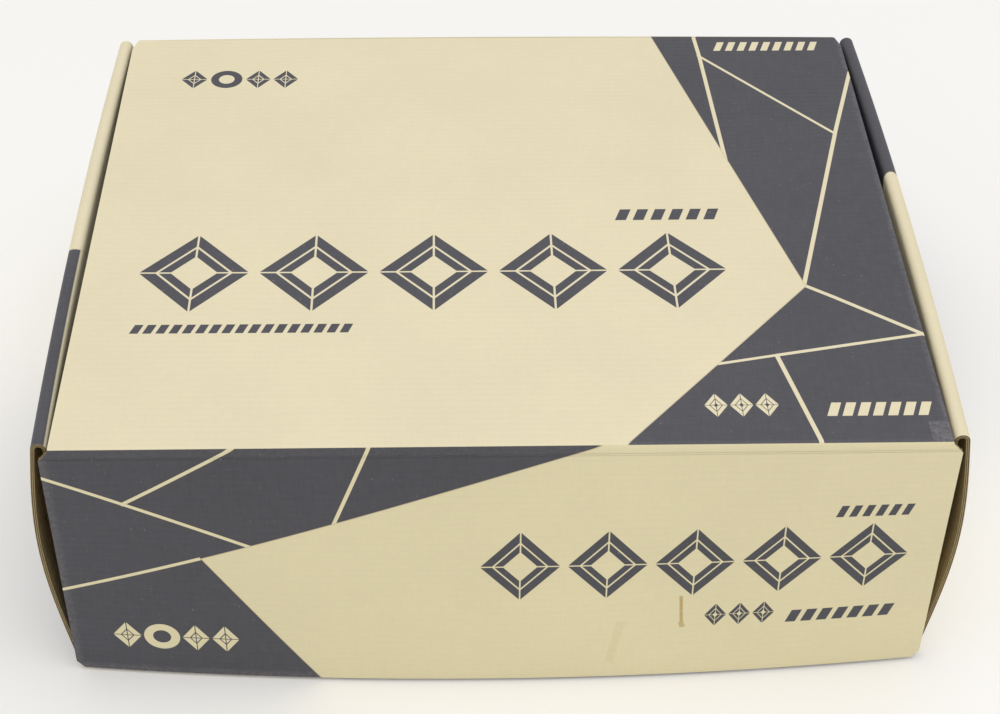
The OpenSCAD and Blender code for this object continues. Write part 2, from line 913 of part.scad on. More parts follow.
magnet(1);  // magnet_right
back_plate(1);  // back_plate_right
tweeter_post(1);  // tweeter_post_right
driver_pod(1);  // driver_pod_right
pod_rings(1);  // pod_rings_right
midrange_cone(1);  // midrange_cone_right
tweeter_dome(1);  // tweeter_dome_right
driver_magnets(1);  // driver_magnets_right
terminal_board(1);  // terminal_board_right
terminals(1);  // terminals_right
capacitor(1);  // capacitor_right
tinsel_leads(1);  // tinsel_leads_right
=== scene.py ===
import math

import bpy
import numpy as np
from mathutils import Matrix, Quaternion, Vector


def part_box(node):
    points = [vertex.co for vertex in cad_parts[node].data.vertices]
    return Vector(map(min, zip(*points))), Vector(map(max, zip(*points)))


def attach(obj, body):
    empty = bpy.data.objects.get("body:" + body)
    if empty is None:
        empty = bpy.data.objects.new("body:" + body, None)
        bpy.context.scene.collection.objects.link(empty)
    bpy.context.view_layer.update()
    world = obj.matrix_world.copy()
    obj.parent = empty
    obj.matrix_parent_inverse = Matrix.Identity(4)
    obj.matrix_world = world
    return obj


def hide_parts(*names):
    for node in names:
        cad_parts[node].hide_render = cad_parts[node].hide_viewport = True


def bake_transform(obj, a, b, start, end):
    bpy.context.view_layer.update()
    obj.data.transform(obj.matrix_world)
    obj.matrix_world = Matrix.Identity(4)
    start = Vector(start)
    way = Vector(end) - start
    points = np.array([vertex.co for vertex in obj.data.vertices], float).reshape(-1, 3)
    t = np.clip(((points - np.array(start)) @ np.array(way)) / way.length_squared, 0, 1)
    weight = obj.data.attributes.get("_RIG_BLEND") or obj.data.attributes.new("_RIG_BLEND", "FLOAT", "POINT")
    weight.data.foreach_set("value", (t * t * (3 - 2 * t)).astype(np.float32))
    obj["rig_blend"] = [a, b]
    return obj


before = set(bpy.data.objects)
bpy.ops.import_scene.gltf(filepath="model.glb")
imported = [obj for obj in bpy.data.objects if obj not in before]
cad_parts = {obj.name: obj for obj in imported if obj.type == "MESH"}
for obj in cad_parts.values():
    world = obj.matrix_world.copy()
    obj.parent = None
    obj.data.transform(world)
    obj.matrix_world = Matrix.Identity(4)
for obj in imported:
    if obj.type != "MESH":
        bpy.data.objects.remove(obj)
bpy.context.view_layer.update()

# %% [markdown]
# A boxed pair of oval coaxial car speakers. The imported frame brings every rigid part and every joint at
# its real size, and this lesson gives them their looks. Folded board, rubber and paper are rebuilt as finer
# meshes that take the place of the plain CAD solids. Everything is in metres, in the frame's own places.

# %% Sizes taken from the frame
MM = 0.001
HAIR = 0.00001


def box_of(node):
    low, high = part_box(node)
    return Vector(low), Vector(high)


LID_LOW, LID_HIGH = box_of("lid_panel")
FLAP_LOW, FLAP_HIGH = box_of("front_flap")
WALL_LOW, WALL_HIGH = box_of("side_wall_right")
REAR_HIGH = box_of("rear_wall")[1]
TRAY_FRONT = box_of("front_wall")[0].y
BOARD = LID_HIGH.z - LID_LOW.z
TOP = LID_HIGH.z
FRONT = LID_LOW.y
REAR = LID_HIGH.y
LID_X = LID_HIGH.x
FLAP_X = FLAP_HIGH.x

# %% [markdown]
# Operators act on whatever is selected, and the frame arrives selected, so every new piece starts from an
# empty selection. Faces are picked in code by a test on their place or their normal, just as a hand would
# box select them on screen.

# %% Selecting by place
def clear_selection():
    if bpy.context.object and bpy.context.object.mode != "OBJECT":
        bpy.ops.object.mode_set(mode="OBJECT")
    bpy.ops.object.select_all(action="DESELECT")


def make_active(piece):
    clear_selection()
    piece.select_set(True)
    bpy.context.view_layer.objects.active = piece


def pick_faces(piece, test):
    """Selects the faces whose centre and normal pass the test, and stays in edit mode."""
    make_active(piece)
    bpy.ops.object.mode_set(mode="EDIT")
    bpy.context.tool_settings.mesh_select_mode = (False, False, True)
    bpy.ops.mesh.select_all(action="DESELECT")
    bpy.ops.object.mode_set(mode="OBJECT")
    for face in piece.data.polygons:
        face.select = bool(test(face.center, face.normal))
    bpy.ops.object.mode_set(mode="EDIT")


def all_faces(piece):
    pick_faces(piece, lambda centre, normal: True)


def close_and_turn_out(piece):
    """Merges doubles and turns the faces outward, which a spin or a wrapped grid needs."""
    all_faces(piece)
    bpy.ops.mesh.remove_doubles(threshold=HAIR)
    bpy.ops.mesh.normals_make_consistent(inside=False)
    bpy.ops.object.mode_set(mode="OBJECT")


def turn_over_if(piece, wrong):
    """Flips every face when the test that the caller made says that they face the wrong way."""
    if wrong:
        all_faces(piece)
        bpy.ops.mesh.flip_normals()
        bpy.ops.object.mode_set(mode="OBJECT")


def face_up(piece):
    """Turns an open sheet so that its faces look up."""
    turn_over_if(piece, sum(face.normal.z for face in piece.data.polygons) < 0)


# %% [markdown]
# Modifiers finish a piece and are then applied, so that the mesh holds the whole shape. The last helper
# names the piece, puts its place into its mesh, gives it to the body that carries it and hides the CAD
# nodes that it stands for.

# %% Modifiers and finishing
def apply_modifier(piece, kind, **settings):
    make_active(piece)
    modifier = piece.modifiers.new(kind.title(), kind)
    for key, value in settings.items():
        setattr(modifier, key, value)
    bpy.ops.object.modifier_apply(modifier=modifier.name)


def shade(piece, degrees):
    make_active(piece)
    bpy.ops.object.shade_smooth_by_angle(angle=math.radians(degrees))


def settle(piece, name, nodes, body=None):
    """Applies the piece's place, names it and hands it to its body."""
    make_active(piece)
    bpy.ops.object.transform_apply(location=True, rotation=True, scale=True)
    piece.name = name
    piece.data.name = name
    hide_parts(*nodes)
    if body:
        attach(piece, body)
    print(name, len(piece.data.polygons), "faces")
    return piece


# %% [markdown]
# Shader maths is easier to read as sums than as boxes and wires. Sock wraps one output of a node, and each
# arithmetic sign on it adds a Math node. Finish is one material: its add method makes any other kind of
# node from its type, its settings and what goes into its sockets.

# %% Shader sums
class Sock:
    """One number on a socket; sums on it add Math nodes."""

    def __init__(self, finish, socket):
        self.finish = finish
        self.socket = socket

    def math(self, operation, *others, clamp=False):
        settings = {"operation": operation, "use_clamp": clamp}
        return self.finish.add("Math", settings, dict(enumerate((self,) + others)))

    def __add__(self, other):
        return self.math("ADD", other)

    def __sub__(self, other):
        return self.math("SUBTRACT", other)

    def __mul__(self, other):
        return self.math("MULTIPLY", other)

    def __truediv__(self, other):
        return self.math("DIVIDE", other)

    def __rsub__(self, other):
        return self.math("MULTIPLY_ADD", -1.0, other)

    def __abs__(self):
        return self.math("ABSOLUTE")

    __radd__ = __add__
    __rmul__ = __mul__

    def least(self, other):
        return self.math("MINIMUM", other)

    def most(self, other):
        return self.math("MAXIMUM", other)

    def wave(self, pitch):
        """Sine with this pitch, from -1 to 1."""
        return (self * (2 * math.pi / pitch)).math("SINE")

    def fold(self, pitch):
        """Distance from the middle of the cell, in cells of this pitch."""
        return (self / pitch).math("FRACT") - 0.5

    def step(self, soft):
        """0 below zero and 1 above it, over a short ramp."""
        return self.math("MULTIPLY_ADD", 1 / soft, 0.5, clamp=True)


class Finish:
    """One procedural material."""

    def __init__(self, name):
        self.material = bpy.data.materials.new(name)
        self.material.use_nodes = True
        self.tree = self.material.node_tree
        self.shader = self.tree.nodes["Principled BSDF"]

    def feed(self, socket, value):
        if isinstance(value, Sock):
            self.tree.links.new(value.socket, socket)
        elif isinstance(value, tuple):
            socket.default_value = value[:len(socket.default_value)]
        else:
            socket.default_value = value

    def add(self, kind, settings=None, sockets=None, out=0):
        """Makes a node: its settings first, then its sockets, and returns the wanted output."""
        node = self.tree.nodes.new("ShaderNode" + kind)
        for key, value in (settings or {}).items():
            if key == "stops":
                ramp = node.color_ramp.elements
                while len(ramp) < len(value):
                    ramp.new(0.5)
                for stop, (place, colour) in zip(ramp, value):
                    stop.position = place
                    stop.color = colour
            else:
                setattr(node, key, value)
        for key, value in (sockets or {}).items():
            self.feed(node.inputs[key], value)
        return Sock(self, node.outputs[out])

    def mix(self, mask, first, second):
        """Colour that goes from first to second as the mask goes from 0 to 1."""
        settings = {"data_type": "RGBA", "clamp_factor": True}
        return self.add("Mix", settings, {0: mask, 6: first, 7: second}, 2)

    def tint(self, colour, amount):
        """Colour made lighter or darker by a number near 1."""
        settings = {"operation": "SCALE"}
        return self.add("VectorMath", settings, {0: colour, "Scale": amount})

    def place(self, attribute=None):
        """Coordinates in metres: an attribute of the mesh, or the object's own."""
        if attribute:
            return self.add("Attribute", {"attribute_name": attribute}, out=1)
        return self.add("TexCoord", out=3)

    def xyz(self, place):
        """The three coordinates in millimetres."""
        parts = self.add("SeparateXYZ", None, {0: place})
        outputs = parts.socket.node.outputs
        return [Sock(self, outputs[i]) * 1000 for i in range(3)]

    def cloudy(self, place, size, detail=2.0, stretch=(1, 1, 1)):
        """Noise from 0 to 1 with blobs of about this size in metres."""
        turned = self.add("Mapping", None, {0: place, 3: stretch})
        return self.add("TexNoise", None, {"Vector": turned, "Scale": 1 / size, "Detail": detail})

    def set(self, **sockets):
        """Feeds the shader's sockets: Base_Color becomes Base Color."""
        for key, value in sockets.items():
            self.feed(self.shader.inputs[key.replace("_", " ")], value)
        return self

    def relief(self, height, depth, under=None):
        """Bump of this depth in metres; under is a relief that it lies on."""
        sockets = {"Strength": 1.0, "Distance": depth, "Height": height}
        if under is not None:
            sockets["Normal"] = under
        bump = self.add("Bump", None, sockets)
        self.feed(self.shader.inputs["Normal"], bump)
        return bump


# %% [markdown]
# The print is cream and charcoal. Each charcoal field is bounded by straight cuts, and thin cream lines
# part it, so the art is worked out from the place on the board and stays sharp at any distance. A cut is
# the signed distance to a line, and a streak is a bar between two points. Places are in millimetres.

# %% Drawing with cuts and streaks
CREAM = (0.80, 0.73, 0.52, 1)
CHARCOAL = (0.076, 0.076, 0.091, 1)
KRAFT = (0.40, 0.305, 0.155, 1)
SHARP = 0.12


def cut(x, y, start, end):
    """Distance to the left of the line from start to end."""
    run = Vector(end) - Vector(start)
    left = Vector((-run.y, run.x)).normalized()
    return x * left.x + y * left.y - left.dot(Vector(start))


def streak(x, y, start, end, width):
    """Bar of this width from start to end, as a mask."""
    run = Vector(end) - Vector(start)
    middle = (Vector(start) + Vector(end)) / 2
    along_line = run.normalized()
    across = cut(x, y, start, end)
    along = x * along_line.x + y * along_line.y - along_line.dot(middle)
    return (width / 2 - abs(across)).step(SHARP) * (run.length / 2 - abs(along)).step(SHARP)


def joined(masks):
    """Where any of the masks is on."""
    whole = masks[0]
    for mask in masks[1:]:
        whole = whole.most(mask)
    return whole


def patch(x, y, low, high):
    """Upright rectangle between two corners, as a mask."""
    centre = (Vector(low) + Vector(high)) / 2
    half = (Vector(high) - Vector(low)) / 2
    return (half.x - abs(x - centre.x)).step(SHARP) * (half.y - abs(y - centre.y)).step(SHARP)


# %% [markdown]
# A maker prints names and words on such a carton. None are drawn here: plain ornaments of the same size
# and weight take their places. Large marks become faceted lozenge frames, and small words become rows of
# slanted dashes.

# %% Ornaments
LEAN = 0.35


def lozenges(x, y, low, high, count, stroke):
    """Row of faceted diamond frames between two corners."""
    pitch = (high[0] - low[0]) / count
    half_w = pitch * 0.46
    half_h = (high[1] - low[1]) / 2
    dx = abs((x - low[0]).fold(pitch)) * pitch
    dy = abs(y - (low[1] + high[1]) / 2)
    lean = half_w * half_h / math.hypot(half_w, half_h)
    depth = (1 - (dx / half_w + dy / half_h)) * lean
    frame_mask = depth.step(SHARP) * (stroke - depth).step(SHARP)
    facet = (stroke * 0.05 - abs(depth - stroke * 0.56)).step(SHARP)
    mitre = (stroke * 0.045 - dx.least(dy)).step(SHARP)
    inside = patch(x, y, low, high)
    return frame_mask * (1 - facet) * (1 - mitre) * inside


def dashes(x, y, low, high, count, fill):
    """Row of slanted dashes between two corners; fill is a dash's share of its pitch."""
    width = high[0] - low[0] - (high[1] - low[1]) * LEAN
    pitch = width / (count - 1 + fill)
    along = x - (y - low[1]) * LEAN
    near = abs((along - (low[0] - pitch * (1 - fill) / 2)).fold(pitch)) * pitch
    row = patch(along, y, low, (low[0] + width, high[1]))
    return (pitch * fill / 2 - near).step(SHARP) * row


def ring(x, y, centre, radius, stroke):
    """Plain ring, as a mask."""
    dx = x - centre[0]
    dy = y - centre[1]
    away = (dx * dx + dy * dy).math("SQRT")
    return (stroke / 2 - abs(away - radius)).step(SHARP)


def emblem(x, y, low, high):
    """Small mark: a ring between blocks."""
    h = high[1] - low[1]
    w = high[0] - low[0]
    middle = (low[1] + high[1]) / 2
    blocks = joined([
        lozenges(x, y, low, (low[0] + w * 0.24, high[1]), 1, h * 0.3),
        lozenges(x, y, (low[0] + w * 0.54, low[1]), high, 2, h * 0.3),
    ])
    return blocks.most(ring(x, y, (low[0] + w * 0.39, middle), h * 0.36, h * 0.24))


# %% [markdown]
# Printed board is liner paper over flutes. Under the ink a fine linen grain shows, the flutes press a faint
# washboard through the paper, and the ink rubs pale at folds and corners and holds specks of dust. Rubbed
# paper is rougher than inked paper, so the same masks drive colour, roughness and relief.

# %% Printed board
FLUTE = 3.3
RED_EDGE = (0.34, 0.20, 0.10, 1)
STAIN = (0.50, 0.36, 0.14, 1)


def printed_board(name, art, flute_axis, wear=None, crease=None, stain=None, inks=(CREAM, CHARCOAL)):
    """Material whose art function gives a charcoal mask and the distance to its nearest cut."""
    finish = Finish(name)
    place = finish.place("board_place")
    x, y, z = finish.xyz(place)
    ink, outline = art(x, y, z)
    blotch = finish.cloudy(place, 0.055, 3.0)
    mottle = finish.cloudy(place, 0.004, 2.0)
    weft = finish.cloudy(place, 0.0007, 1.0, (0.10, 1, 1))
    warp = finish.cloudy(place, 0.0007, 1.0, (1, 0.10, 0.10))
    linen = weft + warp
    flutes = (x, y, z)[flute_axis].wave(FLUTE)
    speck_place = finish.cloudy(place, 0.0012, 0.0)
    specks = (speck_place - 0.845).step(0.03)
    rub = finish.cloudy(place, 0.0016, 4.0)
    worn = specks * 0.45
    if wear is not None:
        worn = worn.most((wear(x, y, z) * (rub * 1.9 - 0.55)).math("MAXIMUM", 0.0, clamp=True))
    # The flute term in this tone is painted shade of the washboard; blotch, mottle and linen are the paper's
    # own tone.
    shade_amount = 0.915 + blotch * 0.1 + mottle * 0.035 + linen * 0.035 + flutes * 0.006
    cream = finish.tint(inks[0], shade_amount)
    if stain is not None:
        cream = finish.mix(stain(x, y, z) * (0.35 + rub), cream, STAIN)
    fringed = finish.mix(outline * 0.30, cream, RED_EDGE)
    charcoal = finish.tint(inks[1], 0.62 + blotch * 0.26 + mottle * 0.14 + linen * 0.26)
    rubbed = finish.mix(worn * 0.55, charcoal, (0.42, 0.40, 0.40, 1))
    colour = finish.mix(ink, fringed, rubbed)
    roughness = 0.60 - ink * 0.08 + blotch * 0.08 + worn * 0.2
    finish.set(Base_Color=colour, Roughness=roughness)
    finish.set(Specular_IOR_Level=0.35)
    washboard = finish.relief(flutes, 0.000025)
    if crease is not None:
        washboard = finish.relief(1 - crease(x, y, z), 0.0004, washboard)
    finish.relief(linen * 0.8 + mottle * 0.4, 0.00006, washboard)
    return finish.material


# %% [markdown]
# The lid's art: charcoal fills its right side, cut back in an arrow whose point lies right of the middle,
# and a web of cream lines runs through it. Five frames stand across the middle where the large mark would
# be. The front flap repeats the theme mirrored, with charcoal at the upper and lower left.

# %% Lid and flap art
LINE = 1.8


def fringe_of(distance):
    """Narrow band just outside a charcoal field, where the inks don't quite meet."""
    return (0.42 - distance).step(0.1) * distance.step(0.1)


def lid_art(x, y, z):
    upper = cut(x, y, (125.6, -49.0), (78.0, 142.0))
    lower = cut(x, y, (47.2, -140.4), (125.6, -49.0))
    cream_depth = upper.least(lower)
    field = 1 - cream_depth.step(SHARP)
    lines = joined([
        streak(x, y, (97.9, 146.0), (99.4, 124.3), LINE),
        streak(x, y, (99.4, 124.3), (102.6, 40.0), LINE),
        streak(x, y, (98.6, 125.2), (153.9, 59.7), 1.4),
        streak(x, y, (168.5, 110.2), (153.9, 59.7), LINE),
        streak(x, y, (154.2, 60.6), (125.0, -47.6), LINE),
        streak(x, y, (124.6, -48.2), (136.9, -56.9), LINE),
        streak(x, y, (136.4, -56.6), (168.5, -80.5), LINE),
        streak(x, y, (78.0, -97.9), (108.0, -91.7), 1.4),
        streak(x, y, (107.6, -91.8), (168.5, -79.6), 1.6),
        streak(x, y, (108.0, -91.7), (118.6, -142.0), LINE),
    ])
    pale_marks = joined([
        lozenges(x, y, (76.3, -127.1), (105.5, -113.8), 3, 3.0),
        dashes(x, y, (122.5, -127.1), (163.5, -119.6), 7, 0.66),
        dashes(x, y, (106.5, 129.0), (157.0, 136.5), 9, 0.58),
    ])
    dark_marks = joined([
        emblem(x, y, (-143.0, 99.0), (-88.0, 114.0)),
        lozenges(x, y, (-148.0, -62.5), (96.5, -12.0), 5, 9.6),
        dashes(x, y, (50.8, -3.2), (95.6, 4.4), 6, 0.62),
        dashes(x, y, (-145.6, -75.6), (-57.6, -70.2), 17, 0.66),
    ])
    ink = field * (1 - lines) * (1 - pale_marks) + (1 - field) * dark_marks
    return ink, fringe_of(cream_depth)


def flap_art(x, y, z):
    upper = cut(x, z, (38.0, 122.0), (-172.0, 47.1))
    lower = cut(x, z, (-73.0, 1.2), (-116.2, 67.0))
    cream_depth = upper.least(0 - lower)
    field = 1 - cream_depth.step(SHARP)
    lines = joined([
        streak(x, z, (-174.0, 46.5), (-116.2, 67.0), 1.5),
        streak(x, z, (-174.0, 108.7), (-93.0, 71.8), 1.5),
        streak(x, z, (-144.0, 94.3), (-95.0, 125.0), 1.5),
        streak(x, z, (-48.9, 124.0), (-65.6, 81.7), 1.5),
    ])
    pale_marks = emblem(x, z, (-155.4, 15.0), (-103.9, 30.0))
    dark_marks = joined([
        lozenges(x, z, (-10.0, 46.0), (160.0, 81.0), 5, 6.6),
        dashes(x, z, (127.7, 84.6), (158.0, 90.4), 6, 0.58),
        lozenges(x, z, (80.1, 28.5), (109.0, 41.0), 3, 2.8),
        dashes(x, z, (113.4, 28.4), (157.5, 35.0), 7, 0.66),
    ])
    ink = field * (1 - lines) * (1 - pale_marks) + (1 - field) * dark_marks
    return ink, fringe_of(cream_depth)


# %% [markdown]
# Ink wears first where board is creased or handled: along the front fold and, on this carton, at the right
# front corner of the lid, where tape was pulled off. Wear is a number from 0 to 1 that the noise breaks up.
# The flap also has the groove of the creasing tool under its fold, and two dried drips on the cream.

# %% Where the print is worn
FOLD_Y = FRONT / MM
TOP_MM = TOP / MM


def lid_wear(x, y, z):
    front_edge = (1.4 - (y - FOLD_Y)).step(1.6) * 0.22
    tape = patch(x, y, (160.2, -141.5), (167.6, -130.5)) * 0.75
    side_edge = (abs(x) - 166.3).step(2.0) * 0.45
    return front_edge.most(tape).most(side_edge)


def flap_wear(x, y, z):
    fold = (2.2 - abs(TOP_MM - 2.2 - z)).step(1.6) * 0.14
    bottom = (4.0 - z).step(3.0) * 0.45
    side_edge = (abs(x) - 169.6).step(3.0) * 0.45
    return fold.most(bottom).most(side_edge)


def flap_crease(x, y, z):
    """Shallow groove that the creasing tool leaves just under the fold."""
    return (0.45 - abs(z - (TOP_MM - 4.6))).step(0.5)


def flap_stain(x, y, z):
    """Two dried drips on the cream."""
    dark = streak(x, z, (70.6, 46.0), (71.6, 31.0), 1.3)
    foot = streak(x, z, (71.4, 31.5), (72.2, 28.5), 2.2) * 0.8
    pale = streak(x, z, (47.5, 33.0), (43.5, 10.0), 3.4) * 0.13
    return dark.most(foot).most(pale)


LID_PRINT = printed_board("lid_print", lid_art, 1, lid_wear)
# The flap's cream and charcoal are the lid's inks made darker: painted shade for the upright front face,
# which takes less light than the lid.
FLAP_SHADED_INKS = ((0.753, 0.685, 0.450, 1), (0.064, 0.064, 0.077, 1))
FLAP_PRINT = printed_board("flap_print", flap_art, 2, flap_wear, flap_crease, flap_stain, FLAP_SHADED_INKS)
print("lid print", len(LID_PRINT.node_tree.nodes), "nodes")

# %% [markdown]
# The rolled sides carry the same two inks: on the left strip charcoal lies in front, and on the right strip
# it lies behind. Over the edge the cut runs down the side on a slant. The rear wall continues the lid's
# charcoal, and the underside is left plain.

# %% Side, rear and underside art
BAND_BOW = 2.2
HALF_DEPTH = 139


def side_art(start, end, ink_side, inner_band=None):
    """Charcoal lies in front of the cut at -1 and behind it at 1, and outside the band along the lid."""
    fork = Vector(start).lerp(Vector(end), 0.6)

    def art(x, y, z):
        depth = cut(y, z, start, end) * ink_side
        field = 1 - depth.step(SHARP)
        lines = joined([
            streak(y, z, fork - Vector((4 * ink_side, 0)), fork + Vector((150 * ink_side, -30)), LINE),
            streak(y, z, fork + Vector((58 * ink_side, -12)), fork + Vector((80 * ink_side, 46)), LINE),
        ])
        ink = field * (1 - lines * (110.0 - z).step(1.0))
        if inner_band:
            bow = BAND_BOW - y * y * (BAND_BOW / HALF_DEPTH ** 2)
            ink = ink * (abs(x) - bow - inner_band).step(0.4)
        return ink, fringe_of(depth)
    return art


def rear_art(x, y, z):
    depth = cut(x, z, (32.0, 0.0), (78.0, 122.0))
    field = 1 - depth.step(SHARP)
    lines = joined([
        streak(x, z, (97.9, 124.0), (120.0, 58.0), LINE),
        streak(x, z, (58.0, 62.0), (170.0, 52.0), LINE),
    ])
    above_base = (z - 1.2).step(0.8)
    return field * (1 - lines) * above_base, fringe_of(depth) * above_base


LEFT_PRINT = printed_board("left_side_print", side_art((44.0, 0.0), (-19.0, 118.0), -1, LID_X / MM + 1.7), 1)
RIGHT_PRINT = printed_board("right_side_print", side_art((-34.0, 0.0), (28.0, 118.0), 1), 1)
REAR_PRINT = printed_board("rear_print", rear_art, 2)


# %% [markdown]
# Inside, the board is bare brown liner with long fibres and a shadow of each flute. A cut edge shows the
# layers: two pale liners with the wavy sheet between them where the cut crosses the flutes, and a plain dark
# band where the cut runs along them. The dark between the paper layers is painted shade in the open flutes.

# %% Bare board and cut edges
def kraft_liner(name, attribute=None):
    finish = Finish(name)
    place = finish.place(attribute)
    x, y, z = finish.xyz(place)
    fibres = finish.cloudy(place, 0.0011, 3.0, (0.25, 1, 1))
    cross_fibres = finish.cloudy(place, 0.0009, 3.0, (1, 0.3, 1))
    blotch = finish.cloudy(place, 0.04, 3.0)
    flutes = y.wave(FLUTE)
    tone = 0.62 + fibres * 0.36 + cross_fibres * 0.24 + blotch * 0.2 + flutes * 0.03
    finish.set(Base_Color=finish.tint(KRAFT, tone), Roughness=0.80 + fibres * 0.12)
    washboard = finish.relief(flutes, 0.00004)
    finish.relief(fibres + cross_fibres, 0.00008, washboard)
    return finish.material


def cut_edge(name, wavy):
    """Raw edge: layer runs from 0 at the printed face to 1 at the inside; the dark between the layers is
    painted shade.
    """
    finish = Finish(name)
    place = finish.place("board_place")
    x, y, z = finish.xyz(place)
    layer = finish.add("Attribute", {"attribute_name": "layer"}, out=2)
    ragged = finish.cloudy(place, 0.0011, 4.0)
    swing = (y + z).wave(FLUTE) * 0.33 * wavy
    sheet = (0.11 - abs(layer - 0.5 - swing)).step(0.1)
    liners = (abs(layer - 0.5) - 0.36).step(0.08)
    paper = sheet.most(liners)
    pale = finish.tint((0.48, 0.38, 0.20, 1), 0.7 + ragged * 0.5)
    # Dark brown between the paper layers: painted shade in the open flutes.
    dark = finish.tint((0.12, 0.085, 0.035, 1), 0.7 + ragged * 0.6)
    finish.set(Base_Color=finish.mix(paper, dark, pale), Roughness=0.88 + ragged * 0.1)
    finish.relief(paper + ragged * 0.5, 0.00025)
    return finish.material


KRAFT_INSIDE = kraft_liner("kraft_inside", "board_place")
KRAFT_SOLID = kraft_liner("kraft_solid")
EDGE_ACROSS = cut_edge("cut_edge_across_flutes", 1.0)
EDGE_ALONG = cut_edge("cut_edge_along_flutes", 0.0)

# %% [markdown]
# A folded sheet could be built fold by fold, but bowed board has no flat faces to fold. A flat grid is laid
# instead, one row of faces for each step along the sheet, and every crossing is moved to its place by a
# rule, as sheet card is curved over a former. Solidify then gives it the board's thickness, with bare liner
# on the new skin and cut edge round the rim.

# %% Laying a grid
def lay_grid(columns, rows, rule):
    """Flat grid whose crossing (u, v), both from 0 to 1, is moved to rule(u, v)."""
    clear_selection()
    bpy.ops.mesh.primitive_grid_add(x_subdivisions=columns, y_subdivisions=rows, size=1)
    piece = bpy.context.object
    for point in piece.data.vertices:
        point.co = rule(point.co.x + 0.5, point.co.y + 0.5)
    piece.data.update()
    return piece


def mark_place(piece):
    """Stores each point's place at rest, for prints that must not slide when the board bends."""
    attribute = piece.data.attributes.new("board_place", "FLOAT_VECTOR", "POINT")
    attribute.data.foreach_set("vector", [c for point in piece.data.vertices for c in point.co])


def thicken(piece, thickness, materials):
    """Board thickness towards the back of the faces, and the layer number across it."""
    mark_place(piece)
    for material in materials:
        piece.data.materials.append(material)
    inner = piece.vertex_groups.new(name="inner")
    last = len(materials) - 1
    apply_modifier(
        piece, "SOLIDIFY", thickness=thickness, offset=-1, use_even_offset=True,
        material_offset=last - 1, material_offset_rim=last, shell_vertex_group=inner.name)
    layer = piece.data.attributes.new("layer", "FLOAT", "POINT")
    for point in piece.data.vertices:
        layer.data[point.index].value = 1.0 if len(point.groups) else 0.0
    piece.vertex_groups.clear()


def along_path(points, share):
    """Point at this share of a path given as evenly stepped points."""
    place = share * (len(points) - 1)
    i = min(int(place), len(points) - 2)
    return points[i].lerp(points[i + 1], place - i)


def straight(start, end, steps):
    """Points on a straight line, without its start."""
    return [Vector(start).lerp(Vector(end), i / steps) for i in range(1, steps + 1)]


def arc(centre, radius, start, end, steps):
    """Points on an arc from one angle to another, in degrees."""
    angles = [math.radians(start + (end - start) * i / steps) for i in range(steps + 1)]
    return [Vector((centre[0] + radius * math.cos(a), centre[1] + radius * math.sin(a))) for a in angles]


# %% [markdown]
# Lid and front flap are one sheet of board with a crease between them, so they are one mesh. Its section
# runs from the rear crease along the lid, round the fold and down the flap. The flap hangs wider than the
# lid, its corners are cut on a slant, and it bows forward towards the bottom.

# %% Lid and front flap
FOLD_R = 0.0022
FLAP_BOTTOM = FLAP_LOW.z
FLAP_BOW = FRONT - FLAP_LOW.y
CREASE_Z = LID_LOW.z - 0.2 * MM
REAR_BEND = 0.0020
REAR_BOW = 0.0018
LID_REAR = REAR - REAR_BEND
CORNER_CUT = 0.004
SHOULDER_H = 0.0035
FOOT_CUT = 0.003
LID_CROWN = 0.0005

lid_end = Vector((LID_REAR, TOP))
fold_steps = arc((FRONT + FOLD_R, TOP - FOLD_R), FOLD_R, 90, 180, 8)
lid_section = (
    [lid_end] + straight(lid_end, fold_steps[0], 40) + fold_steps[1:]
    + straight(fold_steps[-1], (FRONT, FLAP_BOTTOM), 34))


def rear_shift(x):
    """How far the rear crease bows out at this place across the carton."""
    return REAR_BOW * (1 - (x / LID_X) ** 2)


def lid_width(place):
    """Half width of the sheet at a point of its section."""
    if place.x > REAR - CORNER_CUT:
        return LID_X - (place.x - (REAR - CORNER_CUT))
    shoulder = (TOP - FOLD_R * 0.6 - place.y) / SHOULDER_H
    foot = max(0.0, (FLAP_BOTTOM + FOOT_CUT - place.y) / FOOT_CUT)
    return LID_X + (FLAP_X - LID_X) * max(0.0, min(1.0, shoulder)) - FOOT_CUT * foot


def lid_point(u, v):
    place = along_path(lid_section, v)
    x = (2 * u - 1) * lid_width(place)
    y = place.x + rear_shift(x) * max(0.0, place.x / REAR) ** 8
    drop = max(0.0, (CREASE_Z - place.y) / CREASE_Z)
    y -= FLAP_BOW * (1 - (x / FLAP_X) ** 2) * math.sin(math.pi / 2 * min(1.0, drop))
    crown = LID_CROWN * math.sin(math.pi * min(1.0, max(0.0, (place.x - FRONT) / (REAR - FRONT))))
    z = place.y - crown * (1 - (2 * u - 1) ** 2) * (place.y > TOP - 0.0001)
    return (x, y, z)


lid = lay_grid(48, len(lid_section) - 1, lid_point)
close_and_turn_out(lid)
turn_over_if(lid, lid.data.polygons[0].normal.z < 0)
thicken(lid, BOARD, [LID_PRINT, KRAFT_INSIDE, EDGE_ACROSS])
lid.data.materials.append(FLAP_PRINT)
for face in lid.data.polygons:
    if face.material_index == 0 and face.center.y < FRONT + FOLD_R * 0.3:
        face.material_index = 3
shade(lid, 40)
settle(lid, "lid_and_flap", ["lid_panel", "front_flap"])
bend_in = Vector((0, FRONT, CREASE_Z)) + Vector((0, 1, 1)) * 0.0009
bend_out = Vector((0, FRONT, CREASE_Z)) + Vector((0, -1, -1)) * 0.0003
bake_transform(lid, "lid", "front_flap", bend_in, bend_out)

# %% [markdown]
# The ears fold back from the flap's two sides and slide in behind the bulging side panels. Each is a flat
# sheet with a hollow rear edge, since that edge swings about the rear crease as the lid opens. A grid is
# laid whose rear edge follows that arc.

